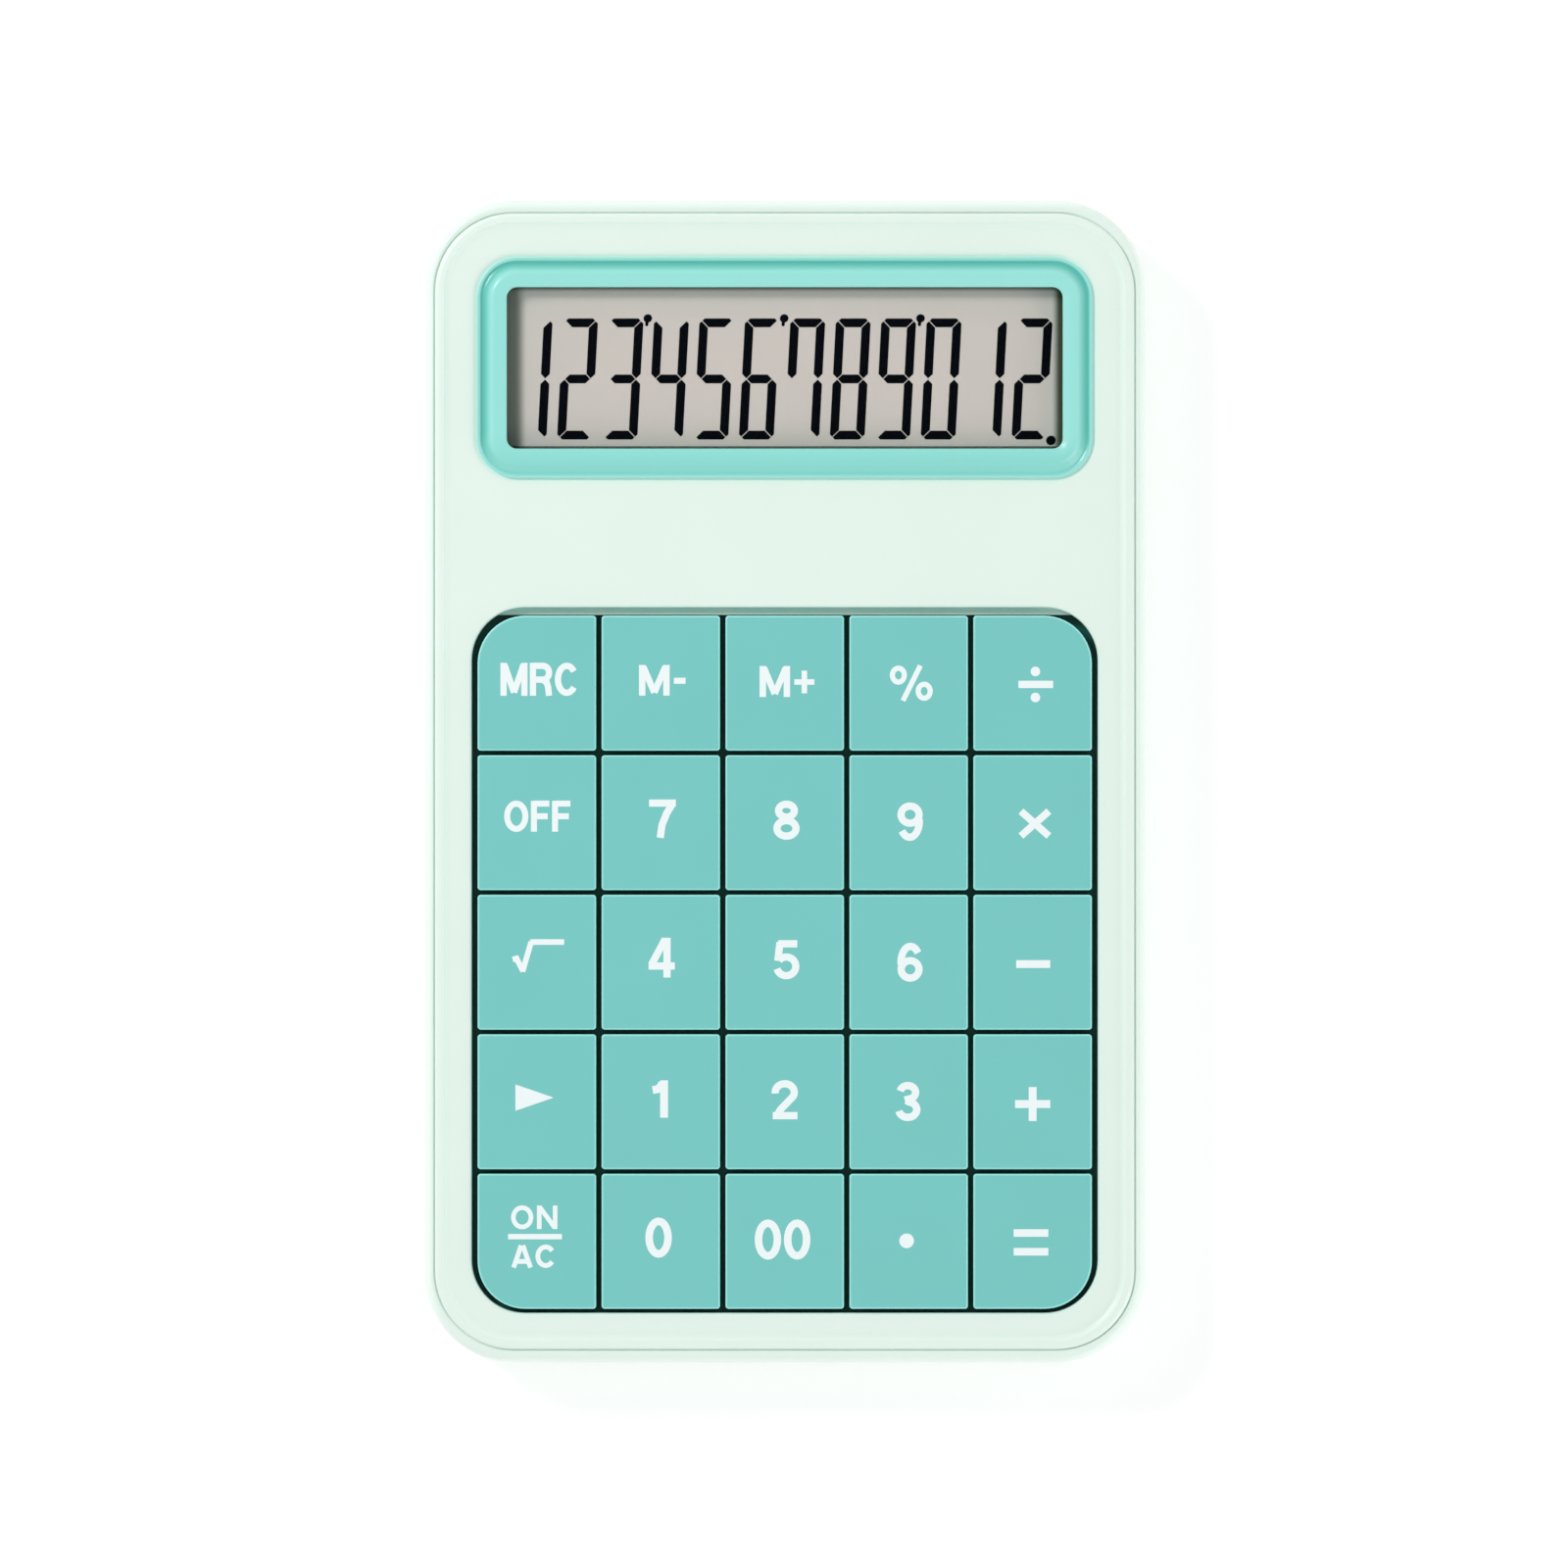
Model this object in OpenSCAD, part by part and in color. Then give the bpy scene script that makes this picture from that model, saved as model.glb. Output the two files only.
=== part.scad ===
// Pocket desk calculator with 25 tile keys and a 12-digit display.
// It lies flat: X is its width, +Y points to the display, Z is up.
// The origin is on the floor, below the middle of the case.

/* [Keys] */
// Width of a key tile
key_w = 17.35; // [15:0.05:19]
// Length of a key tile
key_l = 19.75; // [17:0.05:22]
// Gap between neighbouring columns
key_gap_x = 0.68; // [0.5:0.02:1.2]
// Gap between neighbouring rows
key_gap_y = 0.55; // [0.4:0.05:1.2]
// How far a key stands above the face
key_proud = 0.7; // [0.3:0.1:1.5]
// Travel of a key
key_travel = 1.5; // [1:0.1:2]
// Radius of a tile's ordinary corners
key_corner = 0.6; // [0.5:0.1:1.5]
// Radius of the rounding along a tile's top edge
key_edge = 0.35; // [0.2:0.05:0.5]
// Thickness of a key's top
key_top_t = 1.4; // [1:0.1:1.8]
// Thickness of a key's skirt
key_skirt_t = 1.1; // [0.8:0.1:1.6]
// Width of a key's square stem
stem_w = 5; // [4:0.1:6]
// Clearance of a stem in its guide, each side
stem_clear = 0.15; // [0.1:0.05:0.3]
// How far a retaining hook reaches past the stem
hook_reach = 0.7; // [0.5:0.05:1]
// Height of a retaining hook
hook_h = 0.8; // [0.6:0.1:1.2]
// Step between a hook's side and the stem's
hook_step = 0.4; // [0.2:0.1:0.8]
// Length of stem below the hooks
stem_tip = 0.7; // [0.4:0.1:1.2]

/* [Key well] */
// Gap between the outer keys and the well at the sides
well_side_gap = 0.75; // [0.5:0.05:1.5]
// Gap between the bottom row and the well
well_bottom_gap = 0.65; // [0.5:0.05:1.5]
// Gap between the top row and the well
well_top_gap = 1.3; // [0.5:0.05:2]
// Corner radius of the well
well_corner = 7.7; // [5:0.1:9]
// Depth of the well below the face
well_depth = 4.4; // [4:0.1:5]
// Thickness of the guide grid in the well
grid_t = 1.2; // [1:0.1:1.6]
// Thickness of the wall around the well
well_wall = 1.5; // [1:0.1:2]
// Chamfer along the well's top edge
well_chamfer = 0.25; // [0.1:0.05:0.5]

/* [Cover] */
// Face beside the well
side_margin = 5.415; // [5:0.005:10]
// Face below the well
bottom_margin = 5.2; // [5:0.1:10]
// Face between the well and the display bezel
band_l = 18.65; // [18:0.1:26]
// Face beyond the display bezel
top_margin = 6.15; // [5:0.1:12]
// Least face beside the display bezel
bezel_margin = 6; // [6:0.1:10]
// Thickness of the face
cover_t = 1.8; // [1.4:0.1:2.2]
// Thickness of the cover's skirt
cover_wall = 2; // [1.8:0.1:2.4]
// Corner radius of the cover
cover_corner = 11.4; // [9:0.1:14]
// Height of the raised rim above the face
rim_h = 0.5; // [0.3:0.1:0.8]
// Width of the raised rim
rim_w = 1.3; // [1:0.1:1.6]
// Rounding of the rim's outer edge
rim_edge = 0.7; // [0.4:0.1:0.9]
// Width of the hollow curve inside the rim
rim_sweep = 1.5; // [1:0.1:2]

/* [Lower case] */
// Strip of lower case seen beside the cover
strip_side = 1.6; // [1.2:0.1:3]
// Strip of lower case seen beyond the cover's ends
strip_end = 2.05; // [1.2:0.05:3]
// Thickness of the floor
floor_t = 1.8; // [1.6:0.1:2.4]
// Height of the parting line above the floor's underside
parting_h = 12.6; // [11:0.1:13]
// Rounding of the top edge
case_top_edge = 1.3; // [0.6:0.1:1.5]
// Rounding of the bottom edge
case_bottom_edge = 3.5; // [2:0.1:4]
// Rounding of the floor's inner edge
case_inner_edge = 2; // [1:0.1:3]
// Depth of the rebate in which the cover sits
rebate_h = 0.5; // [0.3:0.1:0.8]
// Width of the ledge that carries the cover
seat_w = 1; // [0.8:0.1:1.1]
// Gap around the cover at the parting line
parting_gap = 0.25; // [0.15:0.05:0.4]
// Height of the cover's locating tongue
tongue_h = 1.2; // [0.8:0.1:1.6]
// Thickness of the cover's locating tongue
tongue_t = 0.8; // [0.6:0.1:0.9]
// General clearance between fitted pieces
fit = 0.2; // [0.15:0.05:0.3]

/* [Display] */
// Width of the display window
window_w = 80.9; // [70:0.1:84]
// Length of the display window
window_l = 23.8; // [20:0.1:28]
// Width of the bezel's frame
bezel_frame = 4.3; // [4:0.1:5]
// Corner radius of the bezel
bezel_corner = 5.8; // [5.2:0.1:7]
// Height of the bezel's crown above the face
bezel_h = 1.3; // [0.9:0.1:1.8]
// Height of the bezel's crown at the window
bezel_inner_h = 0.95; // [0.6:0.05:1.2]
// Width of the bezel's outer lip
bezel_lip = 0.45; // [0.3:0.05:0.6]
// Height of the bezel's outer lip
bezel_lip_h = 0.35; // [0.2:0.05:0.5]
// Width of the slope between lip and crown
bezel_slope = 1.1; // [0.8:0.1:1.4]
// Depth of the bezel's lens seat below the face
lens_seat = 1; // [0.8:0.1:1.4]
// Thickness of the bezel's skirt
bezel_skirt = 1.2; // [1:0.1:1.4]
// Margin of the lens and the panel around the window
lens_margin = 1.6; // [1.2:0.1:1.6]
// Thickness of the lens
lens_t = 1.2; // [0.8:0.1:1.5]
// Thickness of the display panel
lcd_t = 2; // [1.6:0.1:2.4]
// Bare strip of the panel's lower glass
lcd_ledge = 2; // [1.5:0.1:3]
// Thickness of the panel's holder
holder_t = 1.4; // [1.2:0.1:2]
// Frame width of the panel's holder
holder_frame = 6; // [5:0.1:8]
// Width of the ribbon
ribbon_w = 9; // [6:0.1:10]
// Thickness of the ribbon
ribbon_t = 0.25; // [0.2:0.05:0.4]

/* [Circuit board] */
// Thickness of the circuit board
board_t = 1.6; // [1:0.1:1.8]
// Inset of the board from the well's sides
board_inset = 1.5; // [1:0.1:3]
// Thickness of the rubber sheet
rubber_t = 0.6; // [0.5:0.1:1]
// Diameter of a rubber dome at its foot
dome_d = 9; // [7:0.1:10]
// Diameter of a rubber dome at its top
dome_top_d = 6; // [5:0.1:7]
// Distance of the board screws from the board's edges
board_screw_inset = 3; // [3:0.1:4]

/* [Battery] */
// Diameter of the cell
cell_d = 10.5; // [9:0.1:11]
// Length of the cell with its nub
cell_len = 44.5; // [40:0.1:46]
// Diameter of the cell's nub
nub_d = 3.8; // [3:0.1:4.5]
// Length of the cell's nub
nub_len = 0.8; // [0.6:0.1:1.2]
// Clearance between the cell and the door
cell_lift = 0.3; // [0.2:0.1:0.6]
// Side clearance of the cell in its bay
cell_side = 0.55; // [0.3:0.05:0.8]
// Wall of the battery bay
bay_wall = 1.2; // [1:0.1:1.3]
// Roof of the battery bay
bay_roof = 1.1; // [0.8:0.1:1.5]
// Length of the contact spring
spring_len = 5; // [4:0.1:6]
// Wire diameter of the contact spring
spring_wire = 0.6; // [0.4:0.05:0.8]
// Thickness of the contact strips
contact_t = 0.4; // [0.3:0.05:0.6]
// Gap along the door's edges
door_gap = 0.3; // [0.2:0.05:0.4]
// Width of a door tab
tab_w = 8; // [5:0.1:12]
// Distance of the door tabs from the middle
tab_x = 15; // [10:0.1:18]
// Reach of a door tab under the case
tab_reach = 1.5; // [1:0.1:1.8]
// Thickness of a door tab
tab_t = 0.8; // [0.6:0.05:0.85]
// Thickness of the ledge that a tab hooks over
ledge_t = 0.8; // [0.6:0.05:0.85]
// Width of the door's finger tongue
tongue_w = 14; // [10:0.1:20]
// Reach of the door's finger tongue
tongue_reach = 2.2; // [1.5:0.1:2.6]
// Thickness of the door's finger tongue
finger_t = 1; // [0.8:0.1:1.2]

/* [Screws and feet] */
// Diameter of a foot
foot_d = 9; // [7:0.1:11]
// Height of a foot below the case
foot_h = 0.8; // [0.5:0.1:1.5]
// Depth of a foot's pocket
foot_pocket = 0.8; // [0.5:0.1:1]
// Distance of the feet from the case's sides
foot_inset_x = 16.5; // [14:0.1:20]
// Distance of the feet from the case's ends
foot_inset_y = 10.7; // [9.5:0.1:14]
// Diameter of a screw's shank
screw_d = 1.9; // [1.6:0.1:2]
// Clearance of a screw's shank in its pilot hole, across
pilot_clear = 0.1; // [0.05:0.05:0.2]
// Clearance of a screw's shank in a through hole, across
through_clear = 0.4; // [0.2:0.1:0.6]
// Diameter of a screw's head
head_d = 4.2; // [3.4:0.1:4.4]
// Height of a screw's head
head_h = 1.3; // [1:0.1:1.6]
// Clearance around a screw's head, across
head_clear = 0.4; // [0.2:0.1:0.6]
// Diameter of the cover's screw bosses
boss_d = 5; // [4.4:0.1:5.2]
// Diameter of the lower case's screw towers
tower_d = 6.4; // [6:0.1:6.6]
// Height of the case screws' seats above the underside
screw_seat_h = 2.4; // [1.8:0.1:3]
// Height at which towers and bosses meet, above the underside
joint_h = 8.2; // [7.6:0.1:8.6]
// Length of a case screw's shank
case_screw_len = 8; // [7:0.1:8.4]
// Length of the board's and holder's screw shanks
small_screw_len = 3; // [2.4:0.1:3.4]

/* [Hidden] */
$fn = 48;
eps = 0.01;
// How far a sweep laps the block inside it
lap = 0.05;

// Columns and rows
cols = 5;
rows = 5;
pitch_x = key_w + key_gap_x;
pitch_y = key_l + key_gap_y;
well_w = (cols - 1) * pitch_x + key_w + 2 * well_side_gap;
well_l = (rows - 1) * pitch_y + key_l + well_top_gap + well_bottom_gap;

// Outlines, from the keys and the display outwards
bezel_w = window_w + 2 * bezel_frame;
bezel_l = window_l + 2 * bezel_frame;
cover_w = max(well_w + 2 * side_margin, bezel_w + 2 * bezel_margin);
cover_l = bottom_margin + well_l + band_l + bezel_l + top_margin;
case_w = cover_w + 2 * strip_side;
case_l = cover_l + 2 * strip_end;
case_corner = cover_corner + strip_side;

// Places along Y
cover_end = cover_l / 2;
well_y = -cover_end + bottom_margin + well_l / 2;
well_top_y = well_y + well_l / 2;
band_y = well_top_y + band_l / 2;
bezel_y = cover_end - top_margin - bezel_l / 2;
top_row_y = well_top_y - well_top_gap - key_l / 2;

// Heights, from the floor upwards through the battery bay to the face
case_z = foot_h;
inner_z = case_z + floor_t;
cell_z = inner_z + cell_lift + cell_d / 2;
roof_z = cell_z + cell_d / 2;
cover_under_z = roof_z + bay_roof + fit / 2;
face_z = cover_under_z + cover_t;
rim_z = face_z + rim_h;
parting_z = case_z + parting_h;
seat_z = parting_z - rebate_h;
joint_z = case_z + joint_h;

// Heights in the well
grid_top_z = face_z - well_depth;
grid_z = grid_top_z - grid_t;
press_clear = 0.4;
cap_z = grid_top_z + key_travel + press_clear;
key_top_z = face_z + key_proud;
stem_z = grid_z - hook_h - stem_tip;
board_top_z = stem_z - key_travel - rubber_t;
board_z = board_top_z - board_t;

// Heights in the display
lip_z = face_z - lens_seat;
lens_z = lip_z - lens_t;
lcd_z = lens_z - lcd_t;
holder_z = lcd_z - holder_t;

// Cover and case sections
rim_flat = 0.4;
cover_band = rim_w + rim_sweep + rim_flat;
cavity_w = cover_w - 2 * seat_w;
cavity_l = cover_l - 2 * seat_w;
cavity_corner = cover_corner - seat_w;
cover_in_w = cover_w - 2 * cover_wall;
cover_in_l = cover_l - 2 * cover_wall;

// Display pieces below the bezel's face
glass_w = window_w + 2 * lens_margin;
glass_l = window_l + 2 * lens_margin;
skirt_w = glass_w + 2 * (fit + bezel_skirt);
skirt_l = glass_l + 2 * (fit + bezel_skirt);
skirt_corner = 2.5;
seat_corner = 0.5;
frame_corner = 1;
opening_w = skirt_w + 2 * fit;
opening_l = skirt_l + 2 * fit;

// Battery bay
bay_in_l = cell_d + 2 * cell_side;
bay_x0 = -cell_len / 2 - spring_len - contact_t;
bay_x1 = cell_len / 2 + contact_t;
bay_in_w = bay_x1 - bay_x0;
bay_x = (bay_x0 + bay_x1) / 2;
bay_y0 = band_y - bay_in_l / 2;
bay_y1 = band_y + bay_in_l / 2;
contact_share = 0.8;
contact_h = cell_d * contact_share;
tail_h = 2.5;
slot_clear = 0.1;
slot_h = 3.8;
finger_gap = 1;
recess_clear = 0.1;
tab_clear = 0.1;
hinge_gap = 0.1;
hinge_r = floor_t / 2;
hinge_y = bay_y0 + hinge_gap + hinge_r;
hinge_z = case_z + hinge_r;

// Circuit board
board_w = well_w - 2 * board_inset;
board_y0 = well_y - well_l / 2 + board_inset / 2;
board_bay_gap = 0.8;
board_y1 = bay_y0 - bay_wall - board_bay_gap;
pad_reach = 1.8;
pad_y = board_y1 - pad_reach;
rubber_y1 = min(well_top_y - well_top_gap / 2, pad_y - fit);
ribbon_gap = 3;
ribbon_x = bay_x1 + bay_wall + ribbon_gap + ribbon_w / 2;
ribbon_bond = 2;
ribbon_y1 = bezel_y - glass_l / 2 + holder_frame / 2;

// Screws
top_screw_inset = 7.45;
holder_screw_inset = 8.1;
band_screw_gap = 1;
pilot_spare = 0.3;
boss_x = cover_in_w / 2 - boss_d / 2 - fit / 2;
band_screw_x = ribbon_x + ribbon_w / 2 + tower_d / 2 + band_screw_gap;
case_screw_spots = [
    for (s = [-1, 1]) each [
        [s * boss_x, bezel_y + bezel_l / 2 - top_screw_inset],
        [s * band_screw_x, band_y],
        [s * 1.5 * pitch_x, top_row_y - 3.5 * pitch_y]
    ]
];
holder_screw_spots = [for (s = [-1, 1]) [s * boss_x, bezel_y - bezel_l / 2 + holder_screw_inset]];
board_screw_x = board_w / 2 - board_screw_inset;
board_screw_spots = [
    for (s = [-1, 1]) each [
        [s * board_screw_x, board_y0 + board_screw_inset],
        [s * board_screw_x, rubber_y1 - board_screw_inset]
    ]
];
foot_spots = [
    for (sx = [-1, 1], sy = [-1, 1])
        [sx * (case_w / 2 - foot_inset_x), sy * (case_l / 2 - foot_inset_y)]
];

// Colours
mint = [0.91, 0.97, 0.93];
teal = [0.48, 0.80, 0.78];
bezel_teal = [0.62, 0.91, 0.87];
dark = [0.12, 0.13, 0.14];
steel = [0.75, 0.76, 0.78];

// Keys, row by row from the display end
key_rows = [
    ["key_mrc", "key_m_minus", "key_m_plus", "key_percent", "key_divide"],
    ["key_off", "key_7", "key_8", "key_9", "key_multiply"],
    ["key_root", "key_4", "key_5", "key_6", "key_minus"],
    ["key_arrow", "key_1", "key_2", "key_3", "key_plus"],
    ["key_on_ac", "key_0", "key_00", "key_point", "key_equals"]
];

// ---- Plans and sweeps ----

// Corner signs, counter-clockwise from +X +Y
corner_signs = [[1, 1], [-1, 1], [-1, -1], [1, -1]];

// Rectangle with one radius per corner, in the order of corner_signs
module rounded_plan(w, l, radii) {
    difference() {
        square([w, l], center = true);
        for (i = [0:3])
            translate([corner_signs[i][0] * w / 2, corner_signs[i][1] * l / 2])
                square(2 * radii[i], center = true);
    }
    for (i = [0:3])
        translate([corner_signs[i][0] * (w / 2 - radii[i]), corner_signs[i][1] * (l / 2 - radii[i])])
            rotate(90 * i) intersection() {
                circle(radii[i]);
                square(radii[i]);
            }
}

module rounded_block(w, l, r, z0, z1) {
    translate([0, 0, z0]) linear_extrude(z1 - z0) rounded_plan(w, l, [r, r, r, r]);
}

// Sweeps a section around a rounded rectangle. In the section, x runs outwards
// from 0 to the band's width, and y is the height.
module ring_sweep(w, l, radii, band) {
    for (i = [0:3]) {
        r = radii[i];
        a = i % 2 == 0 ? w / 2 : l / 2;
        b = i % 2 == 0 ? l / 2 : w / 2;
        rotate(90 * i) {
            translate([a - r, b - r, 0]) rotate_extrude(angle = 90) translate([r - band, 0]) children();
            // straight stretches from the corner to the middles of its two sides
            translate([a - band, b - r, 0]) rotate([90, 0, 0]) linear_extrude(b - r) children();
            mirror([1, -1, 0]) translate([b - band, a - r, 0])
                rotate([90, 0, 0]) linear_extrude(a - r) children();
        }
    }
}

// Section of a band whose outer edges are rounded below and above
module band_section(band, z0, z1, low, high) {
    translate([0, z0 + low]) square([band, z1 - z0 - low - high]);
    if (low > 0) {
        if (band > low) translate([0, z0]) square([band - low, low]);
        translate([band - low, z0 + low]) intersection() {
            circle(low);
            translate([0, -low]) square(low);
        }
    }
    if (high > 0) {
        if (band > high) translate([0, z1 - high]) square([band - high, high]);
        translate([band - high, z1 - high]) intersection() {
            circle(high);
            square(high);
        }
    }
}

// Rounded slab with rounded lower and upper edges
module soft_slab(w, l, radii, z0, z1, low, high) {
    edge = max(low, high);
    translate([0, 0, z0]) linear_extrude(z1 - z0)
        rounded_plan(w - 2 * edge, l - 2 * edge, [for (r = radii) r - edge]);
    ring_sweep(w, l, radii, edge + lap) band_section(edge + lap, z0, z1, low, high);
}

function equal_radii(r) = [r, r, r, r];

// Vertical cylinder between two heights
module post(spot, d, z0, z1) {
    translate([spot[0], spot[1], z0]) cylinder(d = d, h = z1 - z0);
}

// Box between two corners
module span(a, b) {
    translate(a) cube(b - a);
}

// ---- Case ----

module lower_case() color(mint) {
    difference() {
        union() {
            difference() {
                soft_slab(case_w, case_l, equal_radii(case_corner), case_z, parting_z,
                    case_bottom_edge, case_top_edge);
                case_cavity();
                rounded_block(cover_w + 2 * parting_gap, cover_l + 2 * parting_gap,
                    cover_corner + parting_gap, seat_z, parting_z + 1);
            }
            bay_box();
            for (p = case_screw_spots) post(p, tower_d, inner_z - eps, joint_z);
            for (p = board_screw_spots) post(p, boss_d, inner_z - eps, board_z);
        }
        bay_hollow();
        for (p = case_screw_spots) {
            post(p, screw_d + through_clear, case_z + screw_seat_h - eps, joint_z + 1);
            post(p, head_d + head_clear, case_z - 1, case_z + screw_seat_h);
        }
        for (p = board_screw_spots)
            post(p, screw_d + pilot_clear, board_top_z - small_screw_len - pilot_spare, board_z + 1);
        for (p = foot_spots) post(p, foot_d + fit, case_z - 1, case_z + foot_pocket);
    }
}

module case_cavity() {
    soft_slab(cavity_w, cavity_l, equal_radii(cavity_corner), inner_z, parting_z + 1,
        case_inner_edge, 0);
}

// Battery bay: outer box with its roof
module bay_box() {
    span([bay_x0 - bay_wall, bay_y0 - bay_wall, inner_z - eps],
        [bay_x1 + bay_wall, bay_y1 + bay_wall, roof_z + bay_roof]);
}

// Battery bay: the hollow, its opening in the floor, and the cuts for the door and contacts
module bay_hollow() {
    span([bay_x0, bay_y0, case_z - 1], [bay_x1, bay_y1, roof_z]);
    for (s = [-1, 1])
        span([s * tab_x - tab_w / 2 - fit, bay_y0 - tab_reach - fit, case_z + ledge_t],
            [s * tab_x + tab_w / 2 + fit, bay_y0 + eps, case_z + slot_h]);
    span([bay_x - tongue_w / 2 - door_gap, bay_y1 - eps, case_z - 1],
        [bay_x + tongue_w / 2 + door_gap, bay_y1 + tongue_reach + finger_gap, case_z + finger_t + recess_clear]);
    for (x = [bay_x0, bay_x1 - contact_t])
        span([x - slot_clear, bay_y0 - bay_wall - 1, board_top_z - slot_clear],
            [x + contact_t + slot_clear, bay_y0 + eps, board_top_z + tail_h + slot_clear]);
}

module upper_cover() color(mint) {
    core_inset = cover_band - lap;
    difference() {
        union() {
            rounded_block(cover_w - 2 * core_inset, cover_l - 2 * core_inset,
                cover_corner - core_inset, cover_under_z, face_z);
            ring_sweep(cover_w, cover_l, equal_radii(cover_corner), cover_band) cover_section();
            translate([0, well_y, 0])
                rounded_block(well_w + 2 * well_wall, well_l + 2 * well_wall,
                    well_corner + well_wall, grid_z, cover_under_z + eps);
            for (p = case_screw_spots) post(p, boss_d, joint_z, boss_root_z(p));
            for (p = holder_screw_spots) post(p, boss_d, lcd_z, cover_under_z + eps);
        }
        translate([0, well_y, 0]) {
            rounded_block(well_w, well_l, well_corner, grid_top_z, face_z + 1);
            ring_sweep(well_w + 2 * well_chamfer, well_l + 2 * well_chamfer,
                equal_radii(well_corner + well_chamfer), 2 * well_chamfer)
                polygon([[0, face_z - well_chamfer - eps], [well_chamfer, face_z - well_chamfer],
                    [2 * well_chamfer, face_z], [2 * well_chamfer, face_z + 1], [0, face_z + 1]]);
        }
        translate([0, bezel_y, 0])
            rounded_block(opening_w, opening_l, skirt_corner + fit, cover_under_z - 1, face_z + 1);
        for (row = [0:rows - 1], col = [0:cols - 1]) guide_hole(col, row);
        for (p = case_screw_spots)
            post(p, screw_d + pilot_clear, joint_z - 1, case_z + screw_seat_h + case_screw_len + pilot_spare);
        for (p = holder_screw_spots)
            post(p, screw_d + pilot_clear, lcd_z - 1, holder_z + small_screw_len + pilot_spare);
    }
}

// A boss below the well grows from the guide grid, any other from the face's underside
function boss_root_z(p) = (p[1] < well_top_y ? grid_z : cover_under_z) + eps;

// Edge of the cover: rim with its rounded outer edge and hollow inner curve, skirt and tongue
module cover_section() {
    sweep_r = (rim_sweep * rim_sweep + rim_h * rim_h) / (2 * rim_h);
    curve_x = cover_band - rim_w - rim_sweep;
    skirt_x = cover_band - cover_wall;
    tongue_x = cover_band - seat_w - fit - tongue_t;
    translate([0, cover_under_z]) square([cover_band, cover_t]);
    translate([skirt_x, seat_z]) square([cover_wall, cover_under_z - seat_z]);
    translate([tongue_x, seat_z - tongue_h]) square([tongue_t, tongue_h]);
    translate([cover_band - rim_w, face_z])
        square([rim_w - rim_edge, rim_h]);
    translate([cover_band - rim_edge, face_z]) intersection() {
        square([rim_edge, rim_h]);
        translate([0, rim_h - rim_edge]) circle(rim_edge);
    }
    difference() {
        translate([curve_x, face_z]) square([rim_sweep, rim_h]);
        translate([curve_x, face_z + sweep_r]) circle(sweep_r);
    }
}

function key_x(col) = (col - (cols - 1) / 2) * pitch_x;
function key_y(row) = top_row_y - row * pitch_y;

module guide_hole(col, row) {
    w = stem_w + 2 * stem_clear;
    translate([key_x(col), key_y(row), (grid_z + grid_top_z) / 2]) cube([w, w, grid_t + 2], center = true);
}

module case_screws() color(steel)
    for (p = case_screw_spots) screw(p, case_z + screw_seat_h, case_screw_len, 1);

// Pan-head screw whose head seats at height z; side 1 points the shank up, -1 down
module screw(spot, z, len, side) {
    slot_l = head_d * 0.6;
    slot_w = head_d * 0.14;
    slot_depth = head_h / 2;
    translate([spot[0], spot[1], z]) mirror([0, 0, side > 0 ? 0 : 1]) {
        cylinder(d = screw_d, h = len);
        translate([0, 0, -head_h]) difference() {
            cylinder(d = head_d, h = head_h);
            for (a = [0, 90]) rotate(a) cube([slot_l, slot_w, 2 * slot_depth], center = true);
        }
    }
}

module rubber_feet() color(dark)
    for (p = foot_spots) {
        edge = foot_h / 4;
        translate([p[0], p[1], 0]) rotate_extrude() {
            translate([0, edge]) square([foot_d / 2, foot_h + foot_pocket - edge]);
            polygon([[0, 0], [foot_d / 2 - edge, 0], [foot_d / 2, edge], [0, edge]]);
        }
    }

// ---- Display ----

module display_bezel() color(bezel_teal) translate([0, bezel_y, 0]) {
    radii = equal_radii(bezel_corner);
    ring_sweep(bezel_w, bezel_l, radii, bezel_frame) bezel_section();
    difference() {
        rounded_block(skirt_w, skirt_l, skirt_corner, lcd_z, face_z);
        rounded_block(glass_w + 2 * fit, glass_l + 2 * fit, seat_corner, lcd_z - 1, lip_z);
        rounded_block(window_w, window_l, bezel_corner - bezel_frame, lip_z - 1, face_z + 1);
    }
}

// Bezel above the face: outer lip, slope, then a crown that curves down to the window
module bezel_section() {
    slope_x = bezel_frame - bezel_lip;
    crown_x = slope_x - bezel_slope;
    drop = bezel_h - bezel_inner_h;
    crown_r = (crown_x * crown_x + drop * drop) / (2 * drop);
    translate([slope_x, face_z]) square([bezel_lip, bezel_lip_h]);
    translate([0, face_z])
        polygon([[crown_x, 0], [slope_x, 0], [slope_x, bezel_lip_h], [crown_x, bezel_h]]);
    translate([0, face_z]) intersection() {
        square([crown_x, bezel_h]);
        translate([crown_x, bezel_h - crown_r]) circle(crown_r, $fn = 180);
    }
}

module display_lens() color([0.9, 0.95, 0.95, 0.4])
    translate([0, bezel_y, 0])
        rounded_block(glass_w, glass_l, seat_corner, lens_z, lip_z);

module lcd_panel() color([0.78, 0.76, 0.73]) {
    half = lcd_t / 2;
    span([-glass_w / 2, bezel_y - glass_l / 2, lcd_z], [glass_w / 2, bezel_y + glass_l / 2, lcd_z + half]);
    span([-glass_w / 2, bezel_y - glass_l / 2 + lcd_ledge, lcd_z + half],
        [glass_w / 2, bezel_y + glass_l / 2, lens_z]);
}

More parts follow.
